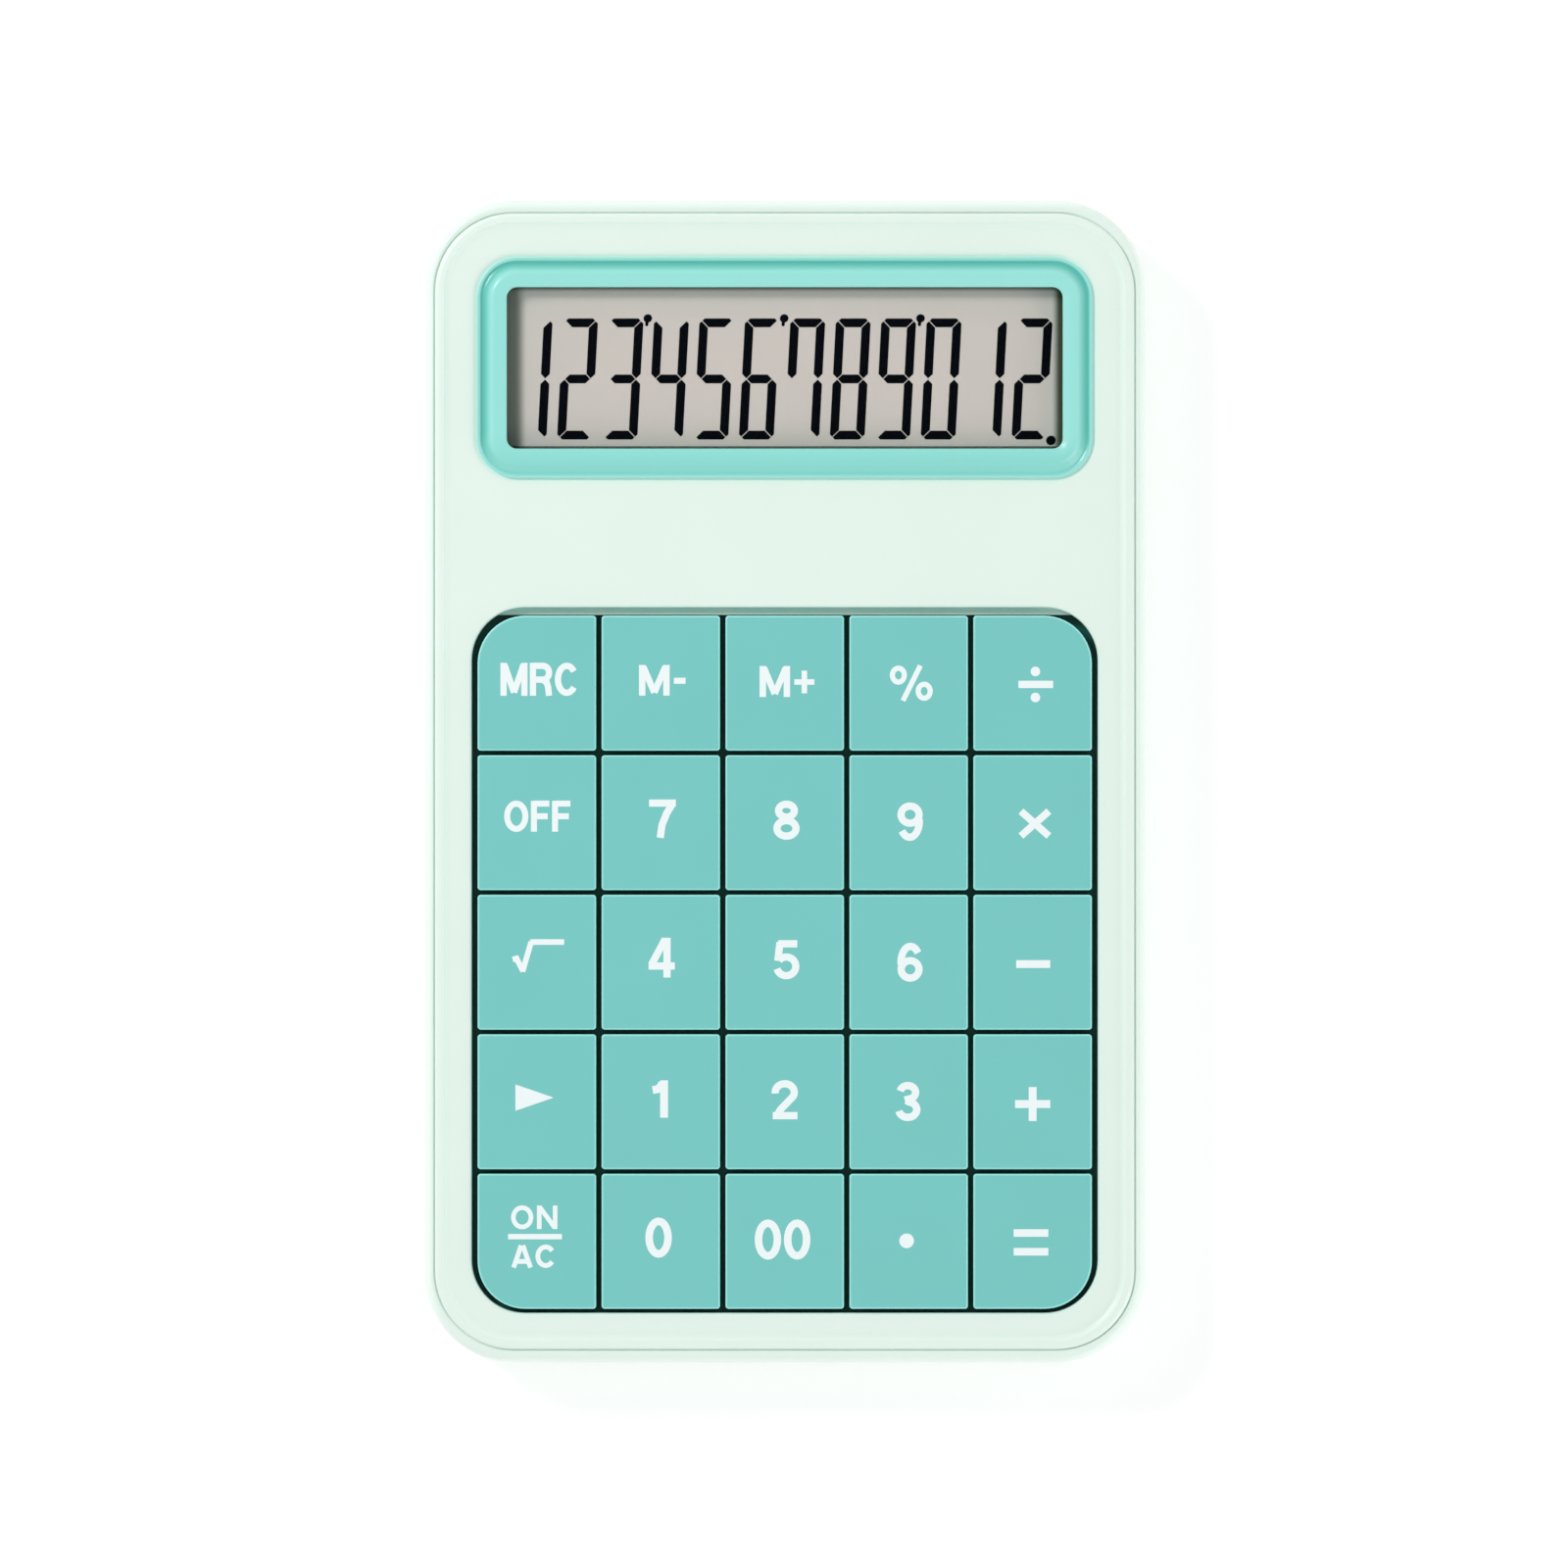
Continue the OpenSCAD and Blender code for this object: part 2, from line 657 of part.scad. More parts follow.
module lcd_holder() color(mint) {
    difference() {
        union() {
            translate([0, bezel_y, 0])
                rounded_block(skirt_w, skirt_l, skirt_corner, holder_z, lcd_z);
            for (p = holder_screw_spots) {
                post(p, boss_d, holder_z, lcd_z);
                span([min(0, p[0]), p[1] - boss_d / 2, holder_z], [max(0, p[0]), p[1] + boss_d / 2, lcd_z]);
            }
        }
        translate([0, bezel_y, 0])
            rounded_block(skirt_w - 2 * holder_frame, skirt_l - 2 * holder_frame, frame_corner, holder_z - 1, lcd_z + 1);
        span([ribbon_x - ribbon_w / 2 - fit, bezel_y - skirt_l / 2 - 1, holder_z - 1],
            [ribbon_x + ribbon_w / 2 + fit, bezel_y, lcd_z + 1]);
        for (p = holder_screw_spots) post(p, screw_d + through_clear, holder_z - 1, lcd_z + 1);
    }
}

module holder_screws() color(steel)
    for (p = holder_screw_spots) screw(p, holder_z, small_screw_len, 1);

// Flat ribbon: glued under the panel, down, then along to the board
module lcd_ribbon() color([0.85, 0.6, 0.25]) {
    x0 = ribbon_x - ribbon_w / 2;
    x1 = ribbon_x + ribbon_w / 2;
    span([x0, ribbon_y1 - ribbon_t, lcd_z - ribbon_t], [x1, ribbon_y1 + ribbon_bond, lcd_z]);
    span([x0, ribbon_y1 - ribbon_t, board_top_z], [x1, ribbon_y1, lcd_z]);
    span([x0, pad_y, board_top_z], [x1, ribbon_y1, board_top_z + ribbon_t]);
}

// ---- Board, keypad and keys ----

module circuit_board() color([0.1, 0.45, 0.25]) {
    difference() {
        span([-board_w / 2, board_y0, board_z], [board_w / 2, board_y1, board_top_z]);
        for (p = board_screw_spots) post(p, screw_d + through_clear, board_z - 1, board_top_z + 1);
        tower_holes(board_z - 1, board_top_z + 1);
    }
}

// Holes around the two towers that pass through the board and the rubber sheet
module tower_holes(z0, z1) {
    for (p = case_screw_spots)
        if (p[1] < well_top_y - pitch_y) post(p, tower_d + 2 * fit, z0, z1);
}

module controller_chip() color(dark) {
    size = 12;
    height = 1.4;
    leg = 0.5;
    leg_l = 1.2;
    legs = 8;
    chip_y = key_y(1) + pitch_y / 2;
    translate([0, chip_y, board_z - height / 2]) cube([size, size, height], center = true);
    for (a = [0:90:270], i = [0:legs - 1])
        translate([0, chip_y, board_z - leg / 2]) rotate(a)
            translate([(size + leg_l) / 2, (i - (legs - 1) / 2) * size / (legs + 1), 0])
                cube([leg_l, leg, leg], center = true);
}

// Chip resistors, capacitors and the clock crystal on the board's underside
module board_components() color([0.8, 0.72, 0.55]) {
    part = [2, 1.25, 0.8];
    crystal = [7, 2.4, 1.6];
    part_pitch = 4;
    row_y = key_y(2) + pitch_y / 4;
    for (i = [1:6])
        translate([-i * part_pitch - pitch_x / 2, row_y, board_z - part[2] / 2]) cube(part, center = true);
    translate([pitch_x, row_y, board_z - crystal[2] / 2]) cube(crystal, center = true);
}

module board_screws() color(steel)
    for (p = board_screw_spots) screw(p, board_top_z, small_screw_len, -1);

module rubber_keypad() color([0.3, 0.32, 0.33]) {
    difference() {
        span([-board_w / 2, board_y0, board_top_z], [board_w / 2, rubber_y1, board_top_z + rubber_t]);
        for (p = board_screw_spots) post(p, head_d + head_clear, board_top_z - 1, board_top_z + 2);
        tower_holes(board_top_z - 1, board_top_z + 2);
    }
    for (row = [0:rows - 1], col = [0:cols - 1])
        translate([key_x(col), key_y(row), board_top_z + rubber_t - eps])
            cylinder(d1 = dome_d, d2 = dome_top_d, h = key_travel + eps);
}

// Tile with a hollow underside, a square stem and two retaining hooks
module key(col, row) color(teal) translate([key_x(col), key_y(row), 0]) {
    outer_r = well_corner - well_side_gap;
    radii = [for (s = corner_signs) is_outer_corner(s, col, row) ? outer_r : key_corner];
    hollow_w = key_w - 2 * key_skirt_t;
    hollow_l = key_l - 2 * key_skirt_t;
    hollow_r = [for (r = radii) max(r - key_skirt_t, 0.3)];
    difference() {
        soft_slab(key_w, key_l, radii, cap_z, key_top_z, 0, key_edge);
        translate([0, 0, cap_z - 1]) linear_extrude(key_top_z - key_top_t - cap_z + 1)
            rounded_plan(hollow_w, hollow_l, hollow_r);
    }
    half = stem_w / 2;
    span([-half, -half, stem_z], [half, half, key_top_z - key_top_t + eps]);
    for (s = [0, 1]) mirror([s, 0, 0]) translate([0, half - hook_step, 0]) rotate([90, 0, 0])
        linear_extrude(stem_w - 2 * hook_step)
            polygon([[half - eps, grid_z - hook_h], [half + hook_reach, grid_z - hook_h / 2],
                [half + hook_reach, grid_z], [half - eps, grid_z]]);
}

// A corner key has its large radius where the well is round
function is_outer_corner(s, col, row) =
    col == (s[0] > 0 ? cols - 1 : 0) && row == (s[1] > 0 ? 0 : rows - 1);

// ---- Battery ----

module battery_cell() color([0.2, 0.3, 0.5]) {
    rim = 0.4;
    translate([-cell_len / 2, band_y, cell_z]) rotate([0, 90, 0]) {
        cylinder(d = cell_d - 2 * rim, h = rim);
        translate([0, 0, rim]) cylinder(d = cell_d, h = cell_len - nub_len - 2 * rim);
        translate([0, 0, cell_len - nub_len - rim]) cylinder(d = cell_d - 2 * rim, h = rim);
        translate([0, 0, cell_len - nub_len]) cylinder(d = nub_d, h = nub_len);
    }
}

// Contact strip across the bay, with a tail that stands on the board's edge
module contact_strip(x) {
    span([x, bay_y0, cell_z - contact_h / 2], [x + contact_t, bay_y1, cell_z + contact_h / 2]);
    span([x, pad_y, board_top_z],
        [x + contact_t, bay_y0 + contact_t, board_top_z + tail_h]);
}

module battery_contact_plate() color(steel) contact_strip(bay_x1 - contact_t);

// Centre line of the conical spring, as a function of the share travelled
function spring_point(u, turns, r0, r1, x0, x1) =
    let (r = r0 + (r1 - r0) * u, a = 360 * turns * u)
    [x0 + (x1 - x0) * u, band_y + r * cos(a), cell_z + r * sin(a)];

// Ring of the spring's wire at share u, square to the turn
function spring_ring(u, turns, r0, r1, x0, x1, sides) =
    let (c = spring_point(u, turns, r0, r1, x0, x1), a = 360 * turns * u)
    [for (i = [0:sides - 1]) let (b = 360 * i / sides, out = spring_wire / 2 * cos(b))
        c + [spring_wire / 2 * sin(b), out * cos(a), out * sin(a)]];

module battery_spring() color(steel) {
    turns = 3.5;
    sides = 8;
    rings = 56;
    foot_r = cell_d * 0.4;
    tip_r = cell_d * 0.24;
    x0 = bay_x0 + contact_t + spring_wire / 2 - eps;
    x1 = -cell_len / 2 - spring_wire / 2 - eps;
    points = [for (k = [0:rings]) each
        spring_ring(k / rings, turns, foot_r, tip_r, x0, x1, sides)];
    walls = [for (k = [0:rings - 1], i = [0:sides - 1])
        let (j = (i + 1) % sides, a = k * sides, b = a + sides) each
            [[a + i, a + j, b + j], [a + i, b + j, b + i]]];
    contact_strip(bay_x0);
    polyhedron(points, concat(walls, [[for (i = [sides - 1:-1:0]) i],
        [for (i = [0:sides - 1]) rings * sides + i]]));
}

// Door: flush plate that turns on its rounded edge, two tabs, a finger tongue and grip grooves
module battery_door() color(mint) {
    grooves = 4;
    groove_pitch = 1.2;
    groove_w = 0.5;
    groove_depth = 0.3;
    tab_z = case_z + ledge_t + tab_clear;
    difference() {
        union() {
            span([bay_x0 + door_gap, hinge_y, case_z], [bay_x1 - door_gap, bay_y1 - door_gap, inner_z]);
            translate([bay_x0 + door_gap, hinge_y, hinge_z]) rotate([0, 90, 0])
                cylinder(r = hinge_r, h = bay_in_w - 2 * door_gap);
            span([bay_x - tongue_w / 2, bay_y1 - door_gap - eps, case_z],
                [bay_x + tongue_w / 2, bay_y1 + tongue_reach, case_z + finger_t]);
        }
        for (i = [1:grooves])
            span([bay_x - tongue_w / 2 + 1, bay_y1 - i * groove_pitch, case_z - 1],
                [bay_x + tongue_w / 2 - 1, bay_y1 - i * groove_pitch + groove_w, case_z + groove_depth]);
    }
    for (s = [-1, 1])
        span([s * tab_x - tab_w / 2, bay_y0 - tab_reach, tab_z],
            [s * tab_x + tab_w / 2, hinge_y, tab_z + tab_t]);
}

// ---- Nodes ----

lower_case();
upper_cover();
display_bezel();
display_lens();
lcd_panel();
lcd_holder();
lcd_ribbon();
holder_screws();
circuit_board();
controller_chip();
board_components();
board_screws();
rubber_keypad();
battery_cell();
battery_spring();
battery_contact_plate();
battery_door();
case_screws();
rubber_feet();
for (row = [0:rows - 1], col = [0:cols - 1])
    key(col, row);
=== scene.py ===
"""A slim desk calculator: mint case, teal tile keys and a twelve-digit segment display.

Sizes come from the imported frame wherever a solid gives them, and lengths are in metres.
"""

from __future__ import annotations

import logging
import math
from dataclasses import dataclass, field
from enum import Enum
from typing import Iterable, Sequence

import bmesh
import bpy
from mathutils import Matrix, Vector


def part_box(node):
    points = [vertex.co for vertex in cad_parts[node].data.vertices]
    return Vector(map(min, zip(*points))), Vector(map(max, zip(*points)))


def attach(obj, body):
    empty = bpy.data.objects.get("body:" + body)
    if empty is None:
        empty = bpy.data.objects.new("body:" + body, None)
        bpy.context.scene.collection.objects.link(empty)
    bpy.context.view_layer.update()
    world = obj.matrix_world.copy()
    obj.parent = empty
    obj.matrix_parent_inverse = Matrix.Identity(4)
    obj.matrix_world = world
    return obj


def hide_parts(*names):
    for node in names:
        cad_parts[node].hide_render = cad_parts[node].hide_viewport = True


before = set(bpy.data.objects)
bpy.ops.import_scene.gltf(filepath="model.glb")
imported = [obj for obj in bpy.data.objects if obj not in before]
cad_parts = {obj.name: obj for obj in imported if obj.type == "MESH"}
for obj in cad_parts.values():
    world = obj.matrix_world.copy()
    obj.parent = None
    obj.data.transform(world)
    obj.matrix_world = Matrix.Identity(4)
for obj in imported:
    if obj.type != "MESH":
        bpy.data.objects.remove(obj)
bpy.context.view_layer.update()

LOG = logging.getLogger("calculator")
MM = 0.001
NEARLY = 0.9999
CASE = "case"

Point = tuple[float, float]
Colour = tuple[int, int, int]
CORNERS = ((1, 1), (-1, 1), (-1, -1), (1, -1))


# ---------------------------------------------------------------- shader maths


class Socket:
    """An output of a shader node that takes part in sums."""

    def __init__(self, maker: "Recipe", output: bpy.types.NodeSocket) -> None:
        """Wraps an output.

        Args:
            maker: The recipe that owns the node tree.
            output: The output to wrap.
        """
        self.maker = maker
        self.output = output

    def _math(self, operation: str, first: object, second: object = 0.0) -> "Socket":
        """Adds a Math node and returns its result."""
        return self.maker.node("Math", {"operation": operation}, {0: first, 1: second})

    def __add__(self, other: object) -> "Socket":
        """Sum."""
        return self._math("ADD", self, other)

    def __radd__(self, other: object) -> "Socket":
        """Reflected sum."""
        return self._math("ADD", other, self)

    def __sub__(self, other: object) -> "Socket":
        """Difference."""
        return self._math("SUBTRACT", self, other)

    def __rsub__(self, other: object) -> "Socket":
        """Reflected difference."""
        return self._math("SUBTRACT", other, self)

    def __mul__(self, other: object) -> "Socket":
        """Product."""
        return self._math("MULTIPLY", self, other)

    def __rmul__(self, other: object) -> "Socket":
        """Reflected product."""
        return self._math("MULTIPLY", other, self)

    def __pow__(self, other: object) -> "Socket":
        """Power."""
        return self._math("POWER", self, other)

    def __rpow__(self, other: object) -> "Socket":
        """Reflected power."""
        return self._math("POWER", other, self)

    def __abs__(self) -> "Socket":
        """Size without its sign."""
        return self._math("ABSOLUTE", self)

    def below(self, limit: float) -> "Socket":
        """1 where the value is under a limit, and 0 elsewhere."""
        return self._math("LESS_THAN", self, limit)

    def above(self, limit: float) -> "Socket":
        """1 where the value is over a limit, and 0 elsewhere."""
        return self._math("GREATER_THAN", self, limit)

    def at_least(self, other: object) -> "Socket":
        """The larger of two values."""
        return self._math("MAXIMUM", self, other)


class Recipe:
    """A material's node tree, built from a Principled shader outwards."""

    def __init__(self, name: str) -> None:
        """Starts an empty material.

        Args:
            name: The material's name.
        """
        self.material = bpy.data.materials.new(name)
        self.material.use_nodes = True
        self.tree = self.material.node_tree
        self.tree.nodes.clear()
        self.end = self.tree.nodes.new("ShaderNodeOutputMaterial")

    def node(self, kind: str, settings: dict | None = None,
             inputs: dict | None = None, output: int | str = 0) -> Socket:
        """Adds one node.

        Args:
            kind: The node's type without its ShaderNode prefix.
            settings: Properties that are set first. "stops" holds a ramp's stops.
            inputs: Values or sockets by the input's name or index.
            output: The output to return.

        Returns:
            The wrapped output.
        """
        made = self.tree.nodes.new("ShaderNode" + kind)
        for key, value in (settings or {}).items():
            if key == "stops":
                self._set_stops(made.color_ramp, value)
            else:
                setattr(made, key, value)
        for key, value in (inputs or {}).items():
            if isinstance(value, Socket):
                self.tree.links.new(value.output, made.inputs[key])
            else:
                made.inputs[key].default_value = value
        return Socket(self, made.outputs[output])

    @staticmethod
    def _set_stops(ramp: bpy.types.ColorRamp, stops: Sequence[tuple[float, tuple]]) -> None:
        """Writes a ramp's stops.

        Args:
            ramp: The ramp.
            stops: Each stop's place and colour, in order.
        """
        while len(ramp.elements) < len(stops):
            ramp.elements.new(1.0)
        for element, (place, colour) in zip(ramp.elements, stops):
            element.position = place
            element.color = colour

    def place(self) -> Socket:
        """Object coordinates."""
        return self.node("TexCoord", output="Object")

    def axis(self, name: str) -> Socket:
        """Object coordinate along X, Y or Z."""
        return self.node("SeparateXYZ", {}, {"Vector": self.place()}, name)

    def step(self, value: Socket, span: tuple[float, float], least: float = 0.0) -> Socket:
        """Smooth step.

        Args:
            value: What rises or falls.
            span: Where the step starts and where it ends.
            least: The result before the step.

        Returns:
            A value that goes from the least one to 1.
        """
        return self.node("MapRange", {"interpolation_type": "SMOOTHSTEP"}, {
            "Value": value, "From Min": span[0], "From Max": span[1], "To Min": least})

    def noise(self, size: float, detail: float = 2.0, stretch: tuple = (1.0, 1.0, 1.0)) -> Socket:
        """Noise whose blotches are about one size across.

        Args:
            size: Size of a blotch.
            detail: Octaves of finer noise.
            stretch: Factors along X, Y and Z.

        Returns:
            A value around one half.
        """
        where = self.node("Mapping", {}, {"Vector": self.place(), "Scale": stretch}, "Vector")
        return self.node("TexNoise", {}, {"Vector": where, "Scale": 1.0 / size, "Detail": detail})

    def tint(self, factor: object, first: tuple, second: tuple) -> Socket:
        """Blends two colours.

        Args:
            factor: Share of the second colour.
            first: First colour.
            second: Second colour.

        Returns:
            The blended colour.
        """
        return self.node("Mix", {"data_type": "RGBA"}, {0: factor, 6: first, 7: second}, 2)

    def bump(self, height: Socket, distance: float, strength: float) -> Socket:
        """Turns a height into a normal."""
        return self.node("Bump", {}, {"Height": height, "Distance": distance, "Strength": strength})

    def surface(self, inputs: dict) -> bpy.types.Material:
        """Ends the tree with a Principled shader.

        Args:
            inputs: The shader's inputs.

        Returns:
            The finished material.
        """
        shader = self.node("BsdfPrincipled", {}, inputs)
        self.tree.links.new(shader.output, self.end.inputs["Surface"])
        return self.material


def linear(colour: Colour, factor: float = 1.0) -> tuple[float, float, float, float]:
    """Turns an 8-bit screen colour into a shader colour.

    Args:
        colour: Red, green and blue from 0 to 255.
        factor: Factor on the result.

    Returns:
        Linear red, green, blue and an alpha of 1.
    """
    def channel(value: float) -> float:
        """One channel of the curve."""
        share = value / 255
        return share / 12.92 if share <= 0.04045 else ((share + 0.055) / 1.055) ** 2.4

    red, green, blue = (min(1.0, channel(c) * factor) for c in colour)
    return (red, green, blue, 1.0)


# ------------------------------------------------------------------- finishes


@dataclass(frozen=True)
class MouldedPlastic:
    """Moulded plastic: a fine spark-eroded grain and slow changes of tone and gloss."""

    name: str
    colour: Colour
    roughness: float = 0.38
    grain_size: float = 0.16 * MM
    grain_depth: float = 0.004 * MM
    flow_size: float = 16 * MM
    mottle: float = 0.02
    smear: float = 0.1
    coat: float = 0.0

    def make(self) -> bpy.types.Material:
        """Builds the material.

        Returns:
            The material.
        """
        recipe = Recipe(self.name)
        flow = recipe.noise(self.flow_size, 3.0)
        fine = recipe.noise(self.grain_size, 2.0)
        smears = recipe.noise(self.flow_size / 4, 2.0, (1.0, 0.35, 1.0))
        tone = recipe.tint(flow, linear(self.colour, 1 - self.mottle),
                           linear(self.colour, 1 + self.mottle))
        return recipe.surface({
            "Base Color": self.paint(recipe, tone),
            "Roughness": self.roughness + (smears - 0.5) * self.smear,
            "Normal": recipe.bump(fine, self.grain_depth, 0.5),
            "Coat Weight": self.coat,
            "Coat Roughness": 0.12,
            "Specular IOR Level": 0.45,
        })

    def paint(self, recipe: Recipe, tone: Socket) -> Socket:
        """Leaves the plastic's colour as moulded."""
        return tone


@dataclass(frozen=True)
class CoverPlasticWithPaintedShade(MouldedPlastic):
    """The cover's plastic, with shade painted dark onto the guide grid deep under the tiles."""

    # Colour of the shade painted on the guide grid and well deep under the tiles
    grid: Colour = (12, 116, 102)
    painted_shade_top: float = 14 * MM
    painted_shade_north: float = 24.2 * MM
    painted_shade_half: float = 46 * MM

    def paint(self, recipe: Recipe, tone: Socket) -> Socket:
        """Paints shade dark onto what lies below the tiles.

        Args:
            recipe: The material's recipe.
            tone: The plastic's colour.

        Returns:
            The colour with the painted shade.
        """
        # Mask of the painted shade: deep in the well, south of the top row, within the well's width
        low = recipe.axis("Z").below(self.painted_shade_top)
        south = recipe.axis("Y").below(self.painted_shade_north)
        inside = abs(recipe.axis("X")).below(self.painted_shade_half)
        return recipe.tint(low * south * inside, tone, linear(self.grid))


@dataclass(frozen=True)
class KeyPlasticWithPaintedHighlight(MouldedPlastic):
    """The keys' plastic, with a highlight painted paler along the rounded top edge."""

    # Colour of the highlight painted on the rounded top edge, between the heights rise and fall
    edge: Colour = (166, 241, 235)
    rise: tuple[float, float] = (16.6 * MM, 16.8 * MM)
    fall: tuple[float, float] = (17.02 * MM, 17.1 * MM)

    def paint(self, recipe: Recipe, tone: Socket) -> Socket:
        """Paints a paler highlight along the rounded edge.

        Args:
            recipe: The material's recipe.
            tone: The plastic's colour.

        Returns:
            The colour with the painted highlight.
        """
        height = recipe.axis("Z")
        # Band of painted highlight over the edge's rounding
        band = recipe.step(height, self.rise) * (1.0 - recipe.step(height, self.fall))
        return recipe.tint(band, tone, linear(self.edge))


@dataclass(frozen=True)
class BezelPlasticWithPaintedShade(MouldedPlastic):
    """The bezel's plastic, with shade painted darker down in the groove inside its lip and thinly
    across its south side.

    The spans begin and end are distances in from the outline, and south is one along Y.
    """

    # Colour of the shade painted in the groove, and thinly over the south side
    groove: Colour = (94, 196, 183)
    south_shade_share: float = 0.33
    centre_y: float = 60.15 * MM
    half: tuple[float, float] = (44.75 * MM, 16.05 * MM)
    corner: float = 5.8 * MM
    begin: tuple[float, float] = (0.3 * MM, 0.6 * MM)
    end: tuple[float, float] = (0.9 * MM, 2.3 * MM)
    south: tuple[float, float] = (45.0 * MM, 51.0 * MM)

    def paint(self, recipe: Recipe, tone: Socket) -> Socket:
        """Paints shade along the groove, spread out thinly over the whole south side.

        Args:
            recipe: The material's recipe.
            tone: The plastic's colour.

        Returns:
            The colour with the groove.
        """
        x, y = recipe.axis("X"), recipe.axis("Y")
        past = [(abs(value) - (half - self.corner)).at_least(0.0)
                for value, half in zip((x, y - self.centre_y), self.half)]
        inward = self.corner - (past[0] ** 2 + past[1] ** 2) ** 0.5
        north = recipe.step(y, self.south)
        # The groove's painted shade gives way to an even, lighter painted shade towards the south
        share = (1.0 - recipe.step(inward, self.end)) * north + (1.0 - north) * self.south_shade_share
        return recipe.tint(recipe.step(inward, self.begin) * share, tone, linear(self.groove))


@dataclass(frozen=True)
class ClearPlastic:
    """Clear acrylic: nearly invisible face-on, with a clean gloss."""

    name: str
    alpha: float = 0.02
    rim: float = 0.1

    def make(self) -> bpy.types.Material:
        """Builds the material.

        Returns:
            The material.
        """
        recipe = Recipe(self.name)
        smear = recipe.noise(9 * MM, 3.0, (1.0, 0.3, 1.0))
        edge = recipe.node("LayerWeight", {}, {"Blend": 0.2}, "Fresnel")
        return recipe.surface({
            "Base Color": (0.02, 0.03, 0.03, 1.0),
            "Roughness": 0.03 + smear * 0.05,
            "Alpha": self.alpha + edge * self.rim,
            "Specular IOR Level": 0.6,
        })


@dataclass(frozen=True)
class DisplayFilm:
    """Reflective segment display: warm grey polariser over a grained reflector.

    Each side of the window holds where its painted shadow starts, where it ends, and how much light
    is left at the start.
    """

    name: str
    colour: Colour = (219, 211, 204)
    # Colour of the bezel's shadow painted beside the window's edges
    shade: Colour = (62, 74, 54)
    west: tuple[float, float, float] = (-39.4 * MM, -37.5 * MM, 0.22)
    east: tuple[float, float, float] = (40.1 * MM, 38.8 * MM, 0.0)
    north: tuple[float, float, float] = (72.1 * MM, 71.2 * MM, 0.0)
    south: tuple[float, float, float] = (46.0 * MM, 52.5 * MM, 0.84)

    def make(self) -> bpy.types.Material:
        """Builds the material.

        Returns:
            The material.
        """
        recipe = Recipe(self.name)
        grain = recipe.noise(0.35 * MM, 3.0)
        cloud = recipe.noise(14 * MM, 2.0)
        light = recipe.tint(cloud * 0.6 + grain * 0.4, linear(self.colour, 0.93),
                            linear(self.colour, 1.06))
        # The bezel's shadow on the reflector is painted into the base colour
        tone = recipe.tint(self.painted_shadow_share(recipe), linear(self.shade), light)
        return recipe.surface({
            "Base Color": tone,
            "Roughness": 0.42 + grain * 0.1,
            "Normal": recipe.bump(grain, 0.003 * MM, 0.4),
            "Specular IOR Level": 0.3,
        })

    def painted_shadow_share(self, recipe: Recipe) -> Socket:
        """How much light the bezel's shadow, painted on the reflector under the glass, leaves
        beside the window's edges.

        Args:
            recipe: The material's recipe.

        Returns:
            0 at the edges and 1 in the open.
        """
        x, y = recipe.axis("X"), recipe.axis("Y")
        sides = ((x, self.west), (x, self.east), (y, self.north), (y, self.south))
        west, east, north, south = (recipe.step(value, side[:2], side[2]) for value, side in sides)
        return west * east * north * south


@dataclass(frozen=True)
class Ink:
    """Thin printed or switched layer of one colour."""

    name: str
    colour: Colour
    roughness: float = 0.4
    gloss: float = 0.3

    def make(self) -> bpy.types.Material:
        """Builds the material.

        Returns:
            The material.
        """
        recipe = Recipe(self.name)
        film = recipe.noise(0.5 * MM, 2.0)
        return recipe.surface({
            "Base Color": recipe.tint(film, linear(self.colour, 0.97), linear(self.colour, 1.03)),
            "Roughness": self.roughness - 0.04 + film * 0.08,
            "Specular IOR Level": self.gloss,
        })


@dataclass(frozen=True)
class Rubber:
    """Soft moulded rubber with a matt, dusty surface."""

    name: str
    colour: Colour

    def make(self) -> bpy.types.Material:
        """Builds the material.

        Returns:
            The material.
        """
        recipe = Recipe(self.name)
        dust = recipe.noise(1.2 * MM, 4.0)
        pores = recipe.noise(0.12 * MM, 2.0)
        return recipe.surface({
            "Base Color": recipe.tint(dust, linear(self.colour, 0.9), linear(self.colour, 1.25)),
            "Roughness": 0.72 + dust * 0.15,
            "Normal": recipe.bump(pores, 0.01 * MM, 0.6),
            "Specular IOR Level": 0.25,
        })


@dataclass(frozen=True)
class PlatedSteel:
    """Plated or drawn steel with fine lines along one axis."""

    name: str
    colour: Colour = (205, 205, 208)
    lines: tuple = (1.0, 8.0, 8.0)

    def make(self) -> bpy.types.Material:
        """Builds the material.

        Returns:
            The material.
        """
        recipe = Recipe(self.name)
        drawn = recipe.noise(0.6 * MM, 3.0, self.lines)
        return recipe.surface({
            "Base Color": recipe.tint(drawn, linear(self.colour, 0.85), linear(self.colour, 1.1)),
            "Metallic": 1.0,
            "Roughness": 0.22 + drawn * 0.2,
            "Normal": recipe.bump(drawn, 0.004 * MM, 0.5),
        })


@dataclass(frozen=True)
class BoardLaminate:
    """Circuit board: solder mask over copper traces that show as faint ridges."""

    name: str
    colour: Colour = (38, 112, 62)

    def make(self) -> bpy.types.Material:
        """Builds the material.

        Returns:
            The material.
        """
        recipe = Recipe(self.name)
        cells = recipe.node("TexVoronoi", {"distance": "MANHATTAN", "feature": "F1"},
                            {"Vector": recipe.place(), "Scale": 1 / (3 * MM)}, "Distance")
        trace = recipe.node("ValToRGB", {"stops": [(0.45, (0, 0, 0, 1)), (0.5, (1, 1, 1, 1))]},
                            {"Fac": cells}, "Color")
        return recipe.surface({
            "Base Color": recipe.tint(trace, linear(self.colour, 0.7), linear(self.colour, 1.2)),
            "Roughness": 0.3 + recipe.noise(2 * MM) * 0.1,
            "Normal": recipe.bump(trace, 0.03 * MM, 0.6),
        })


